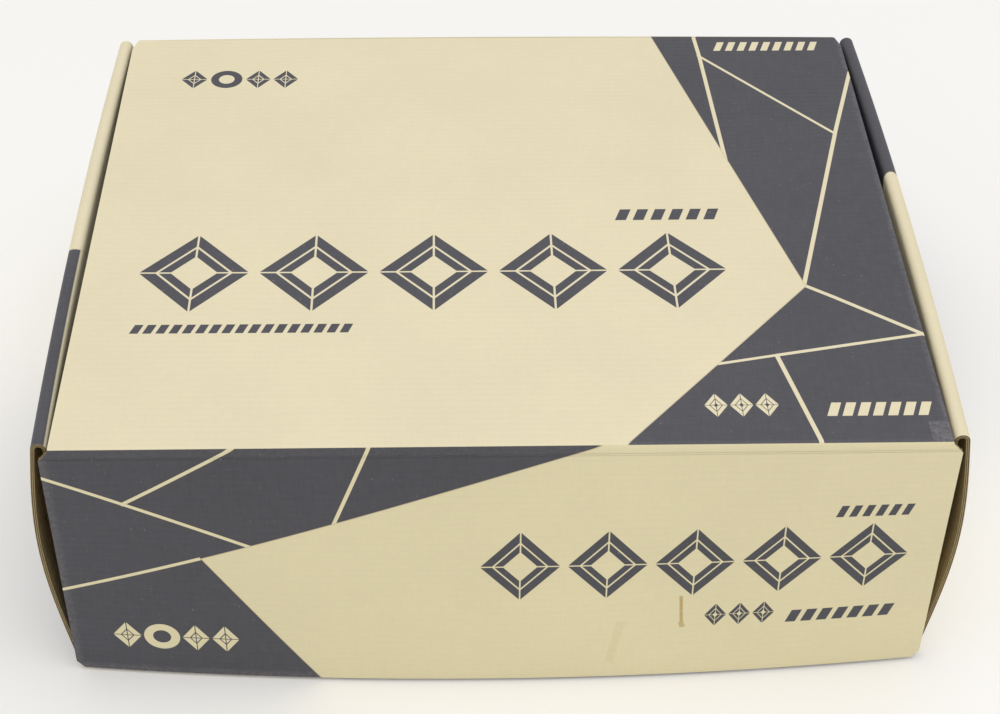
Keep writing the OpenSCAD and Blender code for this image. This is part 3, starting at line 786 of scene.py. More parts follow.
# %% Ears
EAR_LOW, EAR_HIGH = box_of("flap_ears")
EAR_START = FRONT + 0.0006
EAR_T = BOARD * 0.98
ear_radius = math.hypot(REAR - EAR_HIGH.y, CREASE_Z - EAR_LOW.z)
for side in (-1, 1):
    def ear_point(u, v):
        z = EAR_LOW.z + (EAR_HIGH.z - EAR_LOW.z) * v
        back = REAR - math.sqrt(ear_radius ** 2 - (CREASE_Z - z) ** 2)
        return (side * EAR_HIGH.x, EAR_START + (max(back, EAR_START + MM) - EAR_START) * u, z)

    ear = lay_grid(6, 24, ear_point)
    turn_over_if(ear, ear.data.polygons[0].normal.x * side < 0)
    thicken(ear, EAR_T, [FLAP_PRINT, KRAFT_INSIDE, EDGE_ALONG])
    settle(ear, "ear_" + ("left" if side < 0 else "right"), ["flap_ears"], "front_flap")

# %% [markdown]
# Rear wall, base and inner front wall are the other end of the same sheet. One section runs from the lid's
# crease down the rear wall, under the base and up inside the front flap. Its first rows bend with the lid,
# so the crease stays closed when the lid swings back.

# %% Tray
TRAY_TOP = REAR_HIGH.z
REAR_X = REAR_HIGH.x
BASE_X = box_of("base_panel")[1].x
FOOT_R = 0.0018
NARROW_H = 0.004
rear_steps = arc((LID_REAR, TOP - REAR_BEND), REAR_BEND, 90, 0, 8)
rear_foot = arc((REAR - FOOT_R, FOOT_R), FOOT_R, 0, -90, 5)
front_foot = arc((TRAY_FRONT + FOOT_R, FOOT_R), FOOT_R, -90, -180, 5)
tray_section = (
    rear_steps + straight(rear_steps[-1], rear_foot[0], 24) + rear_foot[1:]
    + straight(rear_foot[-1], front_foot[0], 30) + front_foot[1:]
    + straight(front_foot[-1], (TRAY_FRONT, TRAY_TOP), 12))


def tray_width(place):
    if place.y > TRAY_TOP - NARROW_H:
        narrow = LID_X - (max(place.x, REAR - CORNER_CUT) - (REAR - CORNER_CUT))
        if place.x < 0:
            return REAR_X
        share = min(1.0, max(0.0, (place.y - (TRAY_TOP - NARROW_H)) / NARROW_H))
        return REAR_X + (min(narrow, REAR_X) - REAR_X) * share
    under = max(0.0, 1 - place.y / FOOT_R)
    return REAR_X + (BASE_X - REAR_X) * under


def tray_point(u, v):
    place = along_path(tray_section, v)
    x = (2 * u - 1) * tray_width(place)
    bow = rear_shift(min(abs(x), LID_X)) * max(0.0, place.y / TOP) ** 2 * (place.x > REAR - 0.003)
    return (x, place.x + bow, place.y)


tray = lay_grid(32, len(tray_section) - 1, tray_point)
close_and_turn_out(tray)
turn_over_if(tray, tray.data.polygons[0].normal.z < 0)
thicken(tray, BOARD, [REAR_PRINT, KRAFT_INSIDE, EDGE_ACROSS])
shade(tray, 40)
settle(tray, "tray", ["rear_wall", "base_panel", "front_wall"])
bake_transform(tray, "carton", "lid", Vector((0, REAR, TRAY_TOP)), Vector((0, REAR, LID_LOW.z)))

# %% [markdown]
# Each side is one board that rises from the base with a bulge, rolls over in a strip on top and comes down
# inside the tray. The section is worked out once for the right and mirrored for the left. The strip's bow
# in plan is widest in the middle, and its ends are cut square, so the cavity shows bare board.

# %% Rolled sides
PANEL_IN = WALL_LOW.x
ARCH_R = 0.0031
STRIP_X = LID_X + 0.0008
STRIP_BOW = 0.0022
BULGE = 0.0057
ARCH_Z = TOP - ARCH_R
STRIP_OUT = STRIP_X + 2 * ARCH_R
WALL_FOOT = 0.0017
PANEL_LOW = BOARD + 0.2 * MM
PANEL_STEP = box_of("corner_flaps_front")[1].z + 0.003


def side_out(z, bow):
    """Outer face of a side panel at this height."""
    t = max(0.0, z / ARCH_Z)
    return FLAP_X + (STRIP_OUT - FLAP_X + bow) * t + BULGE * math.sin(math.pi * t ** 1.1)


def side_section(bow):
    foot = arc((FLAP_X - WALL_FOOT, WALL_FOOT), WALL_FOOT, -90, 0, 5)
    rise = [Vector((side_out(z, bow), z)) for z in np.linspace(WALL_FOOT * 1.6, ARCH_Z, 22)]
    roll = arc((STRIP_X + ARCH_R + bow, ARCH_Z), ARCH_R, 0, 180, 12)[1:]
    tuck = [
        Vector((STRIP_X + bow * 0.9, ARCH_Z - 0.003)),
        Vector((STRIP_X + bow * 0.8 - 0.0002, ARCH_Z - 0.006))]
    panel = [Vector((PANEL_IN, z)) for z in np.linspace(PANEL_STEP, PANEL_LOW, 12)]
    return foot + rise + roll + tuck + panel


SIDE_ROWS = len(side_section(0.0)) - 1


def side_point(u, v):
    y = WALL_LOW.y + (WALL_HIGH.y - WALL_LOW.y) * u
    bow = STRIP_BOW * (1 - (2 * u - 1) ** 2)
    place = along_path(side_section(bow), v)
    return (place.x, y, place.y)


for side in (-1, 1):
    wall = lay_grid(24, SIDE_ROWS, lambda u, v: (side * side_point(u, v)[0],) + side_point(u, v)[1:])
    close_and_turn_out(wall)
    outer = max(wall.data.polygons, key=lambda face: abs(face.center.x))
    turn_over_if(wall, outer.normal.x * side < 0)
    thicken(wall, BOARD, [LEFT_PRINT if side < 0 else RIGHT_PRINT, KRAFT_INSIDE, EDGE_ALONG])
    shade(wall, 40)
    which = "left" if side < 0 else "right"
    settle(wall, "rolled_side_" + which, ["side_wall_" + which], "carton")

# %% [markdown]
# Inside the carton lie two oval speakers. Their outline is four arcs: two small ones at the ends and two
# large ones along the sides, which meet without a corner. A ring on this outline could be drawn as a curve
# with a bevel, but a grid wrapped round the outline keeps the section exact at every station.

# %% Oval outline
FLANGE_LOW, FLANGE_HIGH = box_of("basket_left")
DECK_Z = box_of("insert_deck")[1].z
HALF_L = (FLANGE_HIGH.y - FLANGE_LOW.y) / 2
HALF_W = (FLANGE_HIGH.x - FLANGE_LOW.x) / 2
END_EASE = 0.0123
STATIONS = 96
END_R = HALF_W - END_EASE
CENTRE_Y = (FLANGE_LOW.y + FLANGE_HIGH.y) / 2
CENTRE_X = (FLANGE_LOW.x + FLANGE_HIGH.x) / 2
AXIS = {-1: Vector((CENTRE_X, CENTRE_Y, DECK_Z)), 1: Vector((-CENTRE_X, CENTRE_Y, DECK_Z))}


def oval_point(half_l, half_w, end_r, angle):
    """Point of the oval whose outward direction is this angle."""
    c = half_l - end_r
    side_r = (half_w ** 2 + c ** 2 - end_r ** 2) / (2 * (half_w - end_r))
    k = side_r - half_w
    cx, cy = math.cos(angle), math.sin(angle)
    if abs(cy) * k >= abs(cx) * c:
        return end_r * cx, math.copysign(c, cy) + end_r * cy
    return side_r * cx - math.copysign(k, cx), side_r * cy


def flange_point(inset, angle):
    return oval_point(HALF_L - inset, HALF_W - inset, END_R - inset, angle)


def oval_ring(section):
    """Sheet or tube whose section, as (inset, height) points, is swept round the flange's outline."""
    def place(u, v):
        inset, height = section[round(v * (len(section) - 1))]
        x, y = flange_point(inset, 2 * math.pi * u)
        return x, y, height
    piece = lay_grid(STATIONS, len(section) - 1, place)
    reach = piece.data.attributes.new("reach", "FLOAT", "POINT")
    for i, point in enumerate(piece.data.vertices):
        reach.data[i].value = (i // (STATIONS + 1)) / (len(section) - 1)
    return piece


def for_both(piece, name, node, body=None, after=None, mirrored=False):
    """Puts a copy with its own mesh on each speaker; after blends it where it has no one body."""
    for side, which in ((-1, "left"), (1, "right")):
        clear_selection()
        copy = piece.copy()
        copy.data = piece.data.copy()
        bpy.context.collection.objects.link(copy)
        if mirrored and side > 0:
            copy.scale = (-1, 1, 1)
        copy.location = AXIS[side]
        settle(copy, name + "_" + which, [node + "_" + which], body and body.replace("SIDE", which))
        if mirrored:
            close_and_turn_out(copy)
        if after:
            after(copy, side, which)
    bpy.data.objects.remove(piece)


# %% [markdown]
# Most solid finishes differ in the same few ways: colour, how it clouds over, how rough it is, and the size
# and depth of its grain. One function makes them all. The grain size is in metres, and stretch draws it out
# into brush marks or fibres.

# %% A finish with grain
def grained(name, colour, rough, grain, depth, metal=0.0, cloud=0.16, stretch=(1, 1, 1), coat=0.0):
    finish = Finish(name)
    place = finish.place()
    fine = finish.cloudy(place, grain, 4.0, stretch)
    broad = finish.cloudy(place, grain * 14, 3.0)
    scuffs = (finish.cloudy(place, grain * 2, 5.0, (1, 0.3, 1)) - 0.68).step(0.08)
    tone = 1 - cloud + broad * cloud * 1.2 + fine * cloud * 0.8
    worn = finish.mix(scuffs * 0.035, finish.tint(colour, tone), (0.45, 0.44, 0.43, 1))
    roughness = rough - 0.06 + fine * 0.10 + broad * 0.06 + scuffs * 0.05
    finish.set(Base_Color=worn, Roughness=roughness, Metallic=metal)
    if coat:
        finish.set(Coat_Weight=coat, Coat_Roughness=0.2)
    finish.relief(fine + scuffs * 0.1, depth)
    return finish.material


POWDER_COAT = grained("black_powder_coat", (0.020, 0.020, 0.022, 1), 0.42, 0.0007, 0.00003)
RUBBER = grained("butyl_rubber", (0.016, 0.016, 0.018, 1), 0.48, 0.0009, 0.00002, cloud=0.3)
FOAM = grained("gasket_foam", (0.022, 0.022, 0.023, 1), 0.92, 0.0006, 0.00016, cloud=0.4)
CONE_PULP = grained("cone_pulp", (0.055, 0.057, 0.064, 1), 0.46, 0.0016, 0.00005, stretch=(1, 0.4, 1))
CLOTH = grained("spider_cloth", (0.50, 0.30, 0.08, 1), 0.85, 0.0006, 0.0001)
COPPER_COIL = grained("coil_copper", (0.62, 0.30, 0.13, 1), 0.35, 0.0004, 0.00006, 1.0, stretch=(0.1, 0.1, 2))
ZINC = grained("zinc_plate", (0.60, 0.60, 0.58, 1), 0.34, 0.0008, 0.00002, 1.0, stretch=(0.2, 1, 1))
FERRITE = grained("ferrite", (0.045, 0.046, 0.050, 1), 0.62, 0.0006, 0.00005)
POD_PLASTIC = grained("pod_plastic", (0.022, 0.022, 0.024, 1), 0.50, 0.0005, 0.00004)
ALUMINIUM = grained("ring_aluminium", (0.80, 0.80, 0.81, 1), 0.24, 0.0006, 0.00001, 1.0, 0.1, (1, 0.15, 1))
MID_FILM = grained("midrange_film", (0.11, 0.11, 0.12, 1), 0.40, 0.0007, 0.00003)
DOME_FILM = grained("dome_film", (0.66, 0.66, 0.68, 1), 0.22, 0.0005, 0.00001, 0.9, 0.1)
BLACK_ZINC = grained("black_zinc", (0.035, 0.035, 0.038, 1), 0.36, 0.0005, 0.00002, 0.6)
CLIP_STEEL = grained("clip_steel", (0.50, 0.49, 0.46, 1), 0.38, 0.0006, 0.00002, 1.0, stretch=(1, 0.2, 1))
PHENOLIC = grained("phenolic_board", (0.16, 0.070, 0.028, 1), 0.45, 0.0005, 0.00002, coat=0.3)
BRASS = grained("terminal_brass", (0.70, 0.52, 0.22, 1), 0.30, 0.0006, 0.00001, 1.0)
SLEEVE = grained("capacitor_sleeve", (0.015, 0.022, 0.090, 1), 0.28, 0.0009, 0.00001, coat=0.4)
TINSEL = grained("tinsel_copper", (0.66, 0.36, 0.18, 1), 0.34, 0.0003, 0.00008, 1.0, stretch=(1, 1, 0.3))

# %% [markdown]
# The surround is a rubber half roll between two flat lips: the outer lip is glued to the flange under the
# gasket and the inner lip to the cone. The roll is a sheet swept round the outline and then thickened. As
# the cone moves, the roll must follow it inwards and stay put outwards.

# %% Surround
FLANGE_TOP = FLANGE_HIGH.z - DECK_Z
RUBBER_T = 0.0010
LIP_OUT = 0.00775
LIP_W = 0.0035
ROLL_IN = LIP_OUT + LIP_W
ROLL_W = 0.0120
ROLL_H = box_of("surround_left")[1].z - DECK_Z - FLANGE_TOP - RUBBER_T
LIP_Z = FLANGE_TOP + RUBBER_T


def ease(share):
    share = min(1.0, max(0.0, share))
    return share * share * (3 - 2 * share)


def follow_inwards(piece, side, which):
    """Blends the piece from the carton at its outer edge to the cone at its inner edge."""
    start = AXIS[side]
    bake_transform(piece, "carton", "cone_" + which, start, start + Vector((0, 0, 0.001)))
    reach = piece.data.attributes["reach"]
    weight = piece.data.attributes["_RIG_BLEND"]
    for i in range(len(piece.data.vertices)):
        weight.data[i].value = ease(reach.data[i].value)


roll = [(ROLL_IN + ROLL_W / 2 - ROLL_W / 2 * math.cos(math.pi * i / 16),
         LIP_Z + ROLL_H * math.sin(math.pi * i / 16)) for i in range(17)]
lips_out = [(LIP_OUT, LIP_Z), (LIP_OUT + LIP_W * 0.7, LIP_Z)]
lips_in = [(ROLL_IN + ROLL_W + LIP_W * 0.3, LIP_Z), (ROLL_IN + ROLL_W + LIP_W, LIP_Z)]
surround = oval_ring(lips_out + roll + lips_in)
for point in surround.data.vertices:
    share = surround.data.attributes["reach"].data[point.index]
    share.value = (share.value - 0.12) / 0.76
close_and_turn_out(surround)
face_up(surround)
apply_modifier(surround, "SOLIDIFY", thickness=RUBBER_T, offset=-1)
surround.data.materials.append(RUBBER)
shade(surround, 50)
for_both(surround, "rubber_surround", "surround", after=follow_inwards)

# %% [markdown]
# The gasket is a foam ring on the flange with softened edges. Its section is swept as a closed tube, and a
# small bevel rounds the edges where light catches them.

# %% Gasket
GASKET_TOP = box_of("gasket_left")[1].z - DECK_Z
GASKET_OUT = 0.0055
GASKET_IN = 0.01125
SOFT = 0.0009
gasket_section = [
    (GASKET_OUT, LIP_Z), (GASKET_OUT, GASKET_TOP - SOFT), (GASKET_OUT + SOFT * 0.3, GASKET_TOP - SOFT * 0.3),
    (GASKET_OUT + SOFT, GASKET_TOP), (GASKET_IN - SOFT, GASKET_TOP),
    (GASKET_IN - SOFT * 0.3, GASKET_TOP - SOFT * 0.3), (GASKET_IN, GASKET_TOP - SOFT), (GASKET_IN, LIP_Z),
    (GASKET_OUT, LIP_Z)]
gasket = oval_ring(gasket_section)
close_and_turn_out(gasket)
gasket.data.materials.append(FOAM)
shade(gasket, 60)
for_both(gasket, "foam_gasket", "gasket", "carton")

# %% [markdown]
# The cone changes from the oval at its rim to a circle at its neck, so each ring of points is part oval and
# part circle. Shallow pressed rings stiffen it, which the eye reads as fine dark circles. It is thickened
# downwards and moves with the voice coil.

# %% Cone
CONE_IN = 0.02325
CONE_T = 0.0012
CONE_TOP = FLANGE_TOP - 0.1 * MM
CONE_LOW = box_of("cone_left")[0].z - DECK_Z + CONE_T
NECK_R = 0.0132
FLARE = 0.004
RIBS = 9
RIB_H = 0.00035


def cone_point(u, v):
    angle = 2 * math.pi * u
    x, y = flange_point(CONE_IN, angle)
    z = CONE_TOP + (CONE_LOW - CONE_TOP) * v + FLARE * math.sin(math.pi * v)
    rib = RIB_H * math.cos(2 * math.pi * v * RIBS) * ease(v * 6) * ease((0.62 - v) * 8)
    return (x * (1 - v) + NECK_R * math.cos(angle) * v,
            y * (1 - v) + NECK_R * math.sin(angle) * v, z - rib)


cone = lay_grid(STATIONS, 60, cone_point)
close_and_turn_out(cone)
face_up(cone)
apply_modifier(cone, "SOLIDIFY", thickness=CONE_T, offset=-1)
cone.data.materials.append(CONE_PULP)
shade(cone, 50)
for_both(cone, "speaker_cone", "cone", "cone_SIDE")

# %% [markdown]
# Turned parts are drawn as half a section and spun. The profile starts as one point, a plane merged to its
# centre, which is extruded from place to place as a pen draws a line. Spin carries it round, and where the
# two ends meet the doubles are merged.

# %% Turning a profile
def turn(profile, centre, steps):
    """Spins (radius, height) points about an upright line through centre."""
    clear_selection()
    start = Vector(centre) + Vector((profile[0][0], 0, profile[0][1]))
    bpy.ops.mesh.primitive_plane_add(size=0.001, location=(0, 0, 0))
    piece = bpy.context.object
    bpy.ops.object.mode_set(mode="EDIT")
    bpy.context.tool_settings.mesh_select_mode = (True, False, False)
    bpy.ops.mesh.select_all(action="SELECT")
    bpy.ops.mesh.merge(type="CENTER")
    bpy.ops.transform.translate(value=start)
    for (r0, z0), (r1, z1) in zip(profile, profile[1:]):
        bpy.ops.mesh.extrude_region_move(TRANSFORM_OT_translate={"value": (r1 - r0, 0, z1 - z0)})
    bpy.ops.mesh.select_all(action="SELECT")
    bpy.ops.mesh.spin(steps=steps, angle=2 * math.pi, center=centre, axis=(0, 0, 1))
    bpy.ops.object.mode_set(mode="OBJECT")
    close_and_turn_out(piece)
    return piece


# %% [markdown]
# The spider is a disc of resin-dipped cloth pressed into waves, glued to the voice coil inside and to the
# basket outside. It is turned from a wavy profile. Its inner edge moves with the cone.

# %% Spider
SPIDER_LOW, SPIDER_HIGH = box_of("spider_left")
SPIDER_R = (SPIDER_HIGH.x - SPIDER_LOW.x) / 2
COIL_R = NECK_R + 0.0001
WAVE_END = SPIDER_R - 0.0036
CLOTH_T = 0.0006
WAVES = 5
WAVE_H = 0.0012
wave_z = (SPIDER_LOW.z + SPIDER_HIGH.z) / 2 - DECK_Z - CLOTH_T / 2
cloth_line = [(COIL_R + (WAVE_END - COIL_R) * i / 60,
               wave_z + WAVE_H * math.sin(2 * math.pi * WAVES * i / 60)) for i in range(61)]
cloth_line.append((SPIDER_R, wave_z))
spider = turn(cloth_line, (0, 0, 0), 96)
face_up(spider)
reach = spider.data.attributes.new("reach", "FLOAT", "POINT")
for point in spider.data.vertices:
    out = math.hypot(point.co.x, point.co.y)
    reach.data[point.index].value = (WAVE_END - out) / (WAVE_END - COIL_R)
apply_modifier(spider, "SOLIDIFY", thickness=CLOTH_T, offset=1)
spider.data.materials.append(CLOTH)
shade(spider, 60)
for_both(spider, "cloth_spider", "spider", after=follow_inwards)

# %% [markdown]
# The pod over the cone's middle holds the two small drivers. It starts as a cylinder whose points are moved
# onto an oval. The top is inset and lowered for a lip, the foot is drawn in, edges are bevelled, and two
# round pockets are cut with Boolean modifiers.

# %% Driver pod
POD_LOW, POD_HIGH = box_of("driver_pod_left")
POD_L = (POD_HIGH.y - POD_LOW.y) / 2
POD_W = (POD_HIGH.x - POD_LOW.x) / 2
POD_Z = POD_LOW.z - DECK_Z
POD_TOP = POD_HIGH.z - DECK_Z
POD_EASE = 0.004
POD_FOOT = 0.004
WELL_Z = POD_Z + POD_FOOT
WELL_GAP = 0.001
RIM_W = 0.0012
RIM_EDGE = 0.0004
RIM_DROP = 0.0006
MID_LOW, MID_HIGH = box_of("midrange_cone_left")
DOME_LOW, DOME_HIGH = box_of("tweeter_dome_left")
MID_R = (MID_HIGH.x - MID_LOW.x) / 2
DOME_R = (DOME_HIGH.x - DOME_LOW.x) / 2
MID_Y = (MID_LOW.y + MID_HIGH.y) / 2 - CENTRE_Y
DOME_Y = (DOME_LOW.y + DOME_HIGH.y) / 2 - CENTRE_Y

clear_selection()
bpy.ops.mesh.primitive_cylinder_add(vertices=96, radius=1, depth=2, end_fill_type="NGON")
pod = bpy.context.object
for point in pod.data.vertices:
    x, y = oval_point(POD_L, POD_W, POD_W - POD_EASE, math.atan2(point.co.y, point.co.x))
    point.co = (x, y, POD_TOP if point.co.z > 0 else WELL_Z)
pick_faces(pod, lambda centre, normal: normal.z < -0.9)
bpy.ops.transform.resize(value=(0.96, 0.97, 1), center_override=(0, 0, WELL_Z))
bpy.ops.mesh.extrude_region_move(TRANSFORM_OT_translate={"value": (0, 0, POD_Z - WELL_Z)})
bpy.ops.transform.resize(value=(0.86, 0.91, 1), center_override=(0, 0, POD_Z))
bpy.ops.object.mode_set(mode="OBJECT")
pick_faces(pod, lambda centre, normal: normal.z > 0.9)
bpy.ops.mesh.inset(thickness=RIM_W, use_even_offset=True)
bpy.ops.transform.translate(value=(0, 0, -RIM_DROP))
bpy.ops.mesh.inset(thickness=RIM_EDGE, use_even_offset=True)
bpy.ops.object.mode_set(mode="OBJECT")
apply_modifier(pod, "BEVEL", width=0.0005, segments=3, limit_method="ANGLE", angle_limit=math.radians(40))


def bore(piece, y, radius):
    """Cuts a round well from above the top down to the foot."""
    clear_selection()
    above = POD_TOP + 0.01
    bpy.ops.mesh.primitive_cylinder_add(
        vertices=72, radius=radius, depth=above - WELL_Z, location=(0, y, (WELL_Z + above) / 2))
    cutter = bpy.context.object
    apply_modifier(piece, "BOOLEAN", operation="DIFFERENCE", object=cutter, solver="EXACT")
    bpy.data.objects.remove(cutter)


bore(pod, MID_Y, MID_R + WELL_GAP)
bore(pod, DOME_Y, DOME_R + WELL_GAP)
pod.data.materials.append(POD_PLASTIC)
shade(pod, 30)
for_both(pod, "driver_pod", "driver_pod", "carton")

# %% [markdown]
# Two bright rings frame the small drivers. Each is turned from a section with a chamfer inside, so that it
# catches a ring of light.

# %% Trim rings
def join(pieces):
    make_active(pieces[0])
    for piece in pieces[1:]:
        piece.select_set(True)
    bpy.ops.object.join()
    return pieces[0]


RING_T = box_of("pod_rings_left")[1].z - POD_HIGH.z
RING_OUT = 0.003
RING_LAP = 0.0005
rings = []
for y, radius in ((MID_Y, MID_R), (DOME_Y, DOME_R)):
    wide = radius + RING_OUT
    bore_r = radius - RING_LAP
    lift = POD_TOP
    section = [
        (bore_r + 0.0012, lift), (bore_r, lift + 0.0006), (bore_r + 0.0002, lift + RING_T * 0.55),
        (bore_r + 0.0012, lift + RING_T * 0.96), (bore_r + 0.0017, lift + RING_T),
        (wide - 0.0009, lift + RING_T), (wide - 0.0003, lift + RING_T * 0.85),
        (wide, lift + RING_T * 0.55), (wide, lift), (bore_r + 0.0012, lift)]
    one = turn(section, (0, y, 0), 96)
    one.data.materials.append(ALUMINIUM)
    shade(one, 28)
    rings.append(one)
for_both(join(rings), "pod_rings", "pod_rings", "carton")

# %% [markdown]
# The midrange is a small pressed cone with its own thin roll and a domed cap, and the tweeter a metal dome
# in a shallow dish. Both are turned as thin films and then thickened.

# %% Small drivers
FILM_T = 0.0006
CAP_R, CAP_H = 0.0068, 0.0026
DOME_CAP_R, DOME_CAP_H = 0.0060, 0.0030


def film(profile, y, material, name, node):
    piece = turn(profile, (0, y, 0), 72)
    face_up(piece)
    apply_modifier(piece, "SOLIDIFY", thickness=FILM_T, offset=-1)
    piece.data.materials.append(material)
    shade(piece, 50)
    for_both(piece, name, node, "carton")


def dome_line(radius, height, base, steps=8):
    """Quarter section of a shallow cap, from its middle outward."""
    return [(radius * math.sin(math.pi / 2 * i / steps) + HAIR,
             base + height * math.cos(math.pi / 2 * i / steps)) for i in range(steps + 1)]


mid_rim = MID_HIGH.z - DECK_Z
mid_roll = [(MID_R - 0.0018 - 0.0014 * math.cos(math.pi * i / 8),
             mid_rim - 0.0010 + 0.0011 * math.sin(math.pi * i / 8)) for i in range(9)]
mid_line = dome_line(CAP_R, CAP_H, mid_rim - 0.0068) + [(0.0070, mid_rim - 0.0070)] + mid_roll
mid_line.append((MID_R, mid_rim - 0.0010))
film(mid_line, MID_Y, MID_FILM, "midrange_cone", "midrange_cone")
dome_base = DOME_LOW.z - DECK_Z + 0.0012
dome_dish = [(0.0064, dome_base - 0.0002), (0.0076, dome_base + 0.0001), (DOME_R, dome_base + 0.0009)]
film(dome_line(DOME_CAP_R, DOME_CAP_H, dome_base) + dome_dish, DOME_Y, DOME_FILM, "tweeter_dome",
     "tweeter_dome")

# %% [markdown]
# The post that carries the pod is a turned stem with a foot on the pole and a collar under the pod.

# %% Post
POST_LOW, POST_HIGH = box_of("tweeter_post_left")
FOOT_RADIUS = (POST_HIGH.x - POST_LOW.x) / 2
post_z0 = POST_LOW.z - DECK_Z
post_z1 = POST_HIGH.z - DECK_Z
STEM_R = 0.0045
post_line = [
    (HAIR, post_z0), (FOOT_RADIUS, post_z0), (FOOT_RADIUS, post_z0 + 0.0022),
    (FOOT_RADIUS - 0.0006, post_z0 + 0.003), (STEM_R + 0.0012, post_z0 + 0.003),
    (STEM_R, post_z0 + 0.0042), (STEM_R, post_z1 - 0.0042), (STEM_R + 0.0003, post_z1 - 0.0040),
    (STEM_R + 0.0003, post_z1 - 0.0008), (STEM_R, post_z1), (HAIR, post_z1)]
post = turn(post_line, (0, 0, 0), 48)
post.data.materials.append(BLACK_ZINC)
shade(post, 30)
for_both(post, "pod_post", "tweeter_post", "carton")

# %% [markdown]
# Two braided leads carry the signal from the terminals to the cone and flex as it moves. Each is a bevelled
# curve, made a mesh before its place is applied, of which a bisect leaves the upper half as an arch. The
# arch bends from the board, which stands still, to the end that the cone carries.

# %% Tinsel leads
LEAD_LOW, LEAD_HIGH = box_of("tinsel_leads_left")
LEAD_R = 0.0006
lead_mid = (LEAD_LOW.x + LEAD_HIGH.x) / 2 - CENTRE_X
lead_span = (LEAD_HIGH.x - LEAD_LOW.x) / 2 - LEAD_R
lead_foot = LEAD_LOW.z - DECK_Z + LEAD_R
lead_y = (LEAD_HIGH.y - LEAD_LOW.y) / 2 - LEAD_R


def arch_curve(y):
    clear_selection()
    bpy.ops.curve.primitive_bezier_circle_add(radius=lead_span, location=(lead_mid, y, lead_foot))
    curve = bpy.context.object
    curve.rotation_euler = (math.pi / 2, 0, 0)
    curve.data.bevel_depth = LEAD_R
    curve.data.bevel_resolution = 3
    curve.data.resolution_u = 12
    bpy.ops.object.convert(target="MESH")
    bpy.ops.object.transform_apply(location=True, rotation=True, scale=True)
    piece = bpy.context.object
    all_faces(piece)
    bpy.ops.mesh.bisect(
        plane_co=(0, 0, lead_foot), plane_no=(0, 0, -1), use_fill=True, clear_outer=True)
    bpy.ops.object.mode_set(mode="OBJECT")
    return piece


def flex_across(piece, side, which):
    """Bends a lead from the board end, outside, to the cone end, inside."""
    axis = AXIS[side]
    outside = axis + Vector((side * (abs(lead_mid) + lead_span), 0, 0))
    inside = axis + Vector((side * (abs(lead_mid) - lead_span), 0, 0))
    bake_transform(piece, "carton", "cone_" + which, outside, inside)


lead_pair = join([arch_curve(y) for y in (-lead_y, lead_y)])
lead_pair.data.materials.clear()
lead_pair.data.materials.append(TINSEL)
shade(lead_pair, 60)
for_both(lead_pair, "tinsel_leads", "tinsel_leads", after=flex_across, mirrored=True)

# %% [markdown]
# The leaflet is thin white paper. Its print is only suggested: short grey rows for the wording and the two
# ovals of a cutting template. The rows end raggedly, because noise that is the same all along a row sets
# its length.

# %% Leaflet print
LEAFLET_LOW, LEAFLET_HIGH = box_of("leaflet")
LEAFLET_MID = (LEAFLET_LOW + LEAFLET_HIGH) / 2 / MM
ROW = 3.4


def oval_line(x, z, centre, half, stroke):
    """Thin oval outline, as a mask."""
    dx = (x - centre[0]) / half[0]
    dz = (z - centre[1]) / half[1]
    away = ((dx * dx + dz * dz).math("SQRT") - 1) * min(half)
    return (stroke / 2 - abs(away)).step(SHARP)


leaflet = Finish("leaflet_paper")
sheet_place = leaflet.place()
x, y, z = leaflet.xyz(sheet_place)
row_number = (z / ROW).math("FLOOR")
row_end = leaflet.add("TexWhiteNoise", {"noise_dimensions": "1D"}, {"W": row_number}) * 22
in_row = (0.55 - abs(z.fold(ROW)) * ROW).step(SHARP)
block = patch(x, z, (-50, LEAFLET_MID.z - 30), (30, LEAFLET_MID.z + 22))
wording = in_row * block * (4 - x - row_end).step(SHARP)
template = joined([
    oval_line(x, z, (34, LEAFLET_MID.z - 2), (17, 24), 0.6),
    oval_line(x, z, (34, LEAFLET_MID.z - 2), (13, 20), 0.4),
])
print_mask = wording.most(template * patch(x, z, (10, -10), (60, LEAFLET_MID.z + 40)))
fibre = leaflet.cloudy(sheet_place, 0.0008, 4.0)
waviness = leaflet.cloudy(sheet_place, 0.03, 1.0)
# The waviness term in this white is painted shade of the paper's gentle waves; the fibre term is the paper's
# own tone.
white = leaflet.tint((0.80, 0.80, 0.77, 1), 0.95 + fibre * 0.06 + waviness * 0.03)
grey_print = (0.12, 0.12, 0.13, 1)
leaflet.set(Base_Color=leaflet.mix(print_mask * 0.75, white, grey_print), Roughness=0.7 + fibre * 0.1)
leaflet.relief(waviness, 0.0012, leaflet.relief(fibre, 0.00003))
LEAFLET_PRINT = leaflet.material
print("leaflet", [round(s, 4) for s in LEAFLET_HIGH - LEAFLET_LOW])

# %% [markdown]
# The kept CAD nodes already have the right shape, so they only need a finish in place of their flat colour.

# %% Finishes for kept nodes
def dress(node, material):
    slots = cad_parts[node].material_slots
    for s in slots:
        s.material = material


KEPT = {
    KRAFT_SOLID: ["corner_flaps_front", "corner_flaps_rear", "insert_deck"],
    LEAFLET_PRINT: ["leaflet"],
    BLACK_ZINC: ["mounting_screws"],
    CLIP_STEEL: ["speed_clips"],
}
KEPT_PAIRS = {
    POWDER_COAT: ["basket"],
    COPPER_COIL: ["voice_coil"],
    ZINC: ["top_plate", "back_plate", "driver_magnets"],
    FERRITE: ["magnet"],
    PHENOLIC: ["terminal_board"],
    BRASS: ["terminals"],
    SLEEVE: ["capacitor"],
}
for material, nodes in KEPT.items():
    for node in nodes:
        dress(node, material)
for material, nodes in KEPT_PAIRS.items():
    for node in nodes:
        dress(node + "_left", material)
        dress(node + "_right", material)

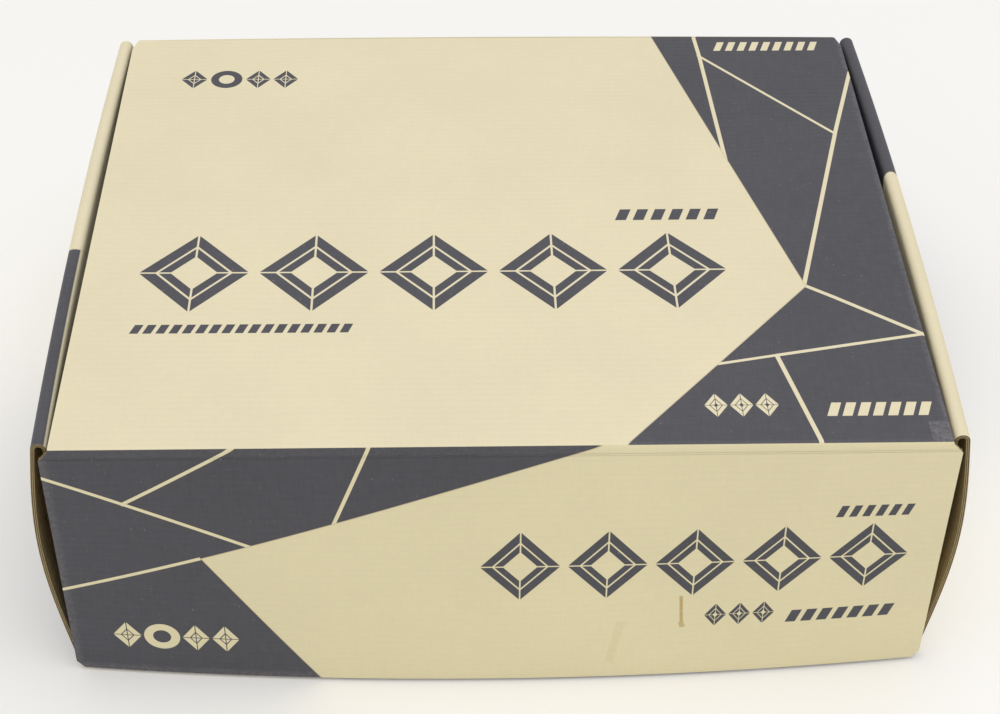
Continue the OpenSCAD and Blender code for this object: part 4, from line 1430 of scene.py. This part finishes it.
# %% [markdown]
# The carton stands on a plain pale floor in soft studio light: a broad white lamp above and in front, a
# warm low one that fills the flap, and a bright surround. The camera looks down on the carton from in front.

# %% Floor, light and camera
clear_selection()
bpy.ops.mesh.primitive_plane_add(size=14, location=(0, 0, -0.0006))
floor = bpy.context.object
floor.name = "floor"
floor_finish = Finish("floor_paper")
floor_noise = floor_finish.cloudy(floor_finish.place(), 0.4, 2.0)
floor_tone = floor_finish.tint((0.93, 0.93, 0.93, 1), 0.985 + floor_noise * 0.02)
floor_finish.set(Base_Color=floor_tone, Roughness=0.9)
floor_finish.set(Emission_Color=(1, 1, 1, 1), Emission_Strength=0.10)
floor.data.materials.append(floor_finish.material)


def soft_lamp(name, place, aim, size, power, colour):
    light = bpy.data.lights.new(name, "AREA")
    light.shape = "RECTANGLE"
    light.size, light.size_y = size
    light.energy = power
    light.color = colour
    lamp = bpy.data.objects.new(name, light)
    bpy.context.collection.objects.link(lamp)
    lamp.location = place
    lamp.rotation_euler = (Vector(aim) - Vector(place)).to_track_quat("-Z", "Y").to_euler()


soft_lamp("top_light", (0.1, -0.25, 1.7), (0, -0.05, 0.1), (1.8, 1.4), 10.5, (1.0, 0.99, 1.0))
soft_lamp("front_fill", (-0.3, -2.0, 0.7), (0, 0, 0.05), (1.8, 1.0), 1.6, (1.0, 0.84, 0.45))

world = bpy.data.worlds.new("studio")
bpy.context.scene.world = world
world.use_nodes = True
world.node_tree.nodes["Background"].inputs["Color"].default_value = (1.0, 0.985, 0.95, 1)
world.node_tree.nodes["Background"].inputs["Strength"].default_value = 0.66
bpy.context.scene.view_settings.view_transform = "Standard"

camera_data = bpy.data.cameras.new("camera")
camera = bpy.data.objects.new("camera", camera_data)
bpy.context.collection.objects.link(camera)
camera_data.sensor_width = 36
camera_data.lens = 71.54
camera_data.clip_start = 0.01
camera.location = (-0.01941, -0.67567, 0.62744)
LOOK = Vector((0.03324, 1.0, -0.86516))
ROLL = Quaternion((0, 0, 1), 0.0131)
camera.rotation_euler = (LOOK.to_track_quat("-Z", "Y") @ ROLL).to_euler()
bpy.context.scene.camera = camera
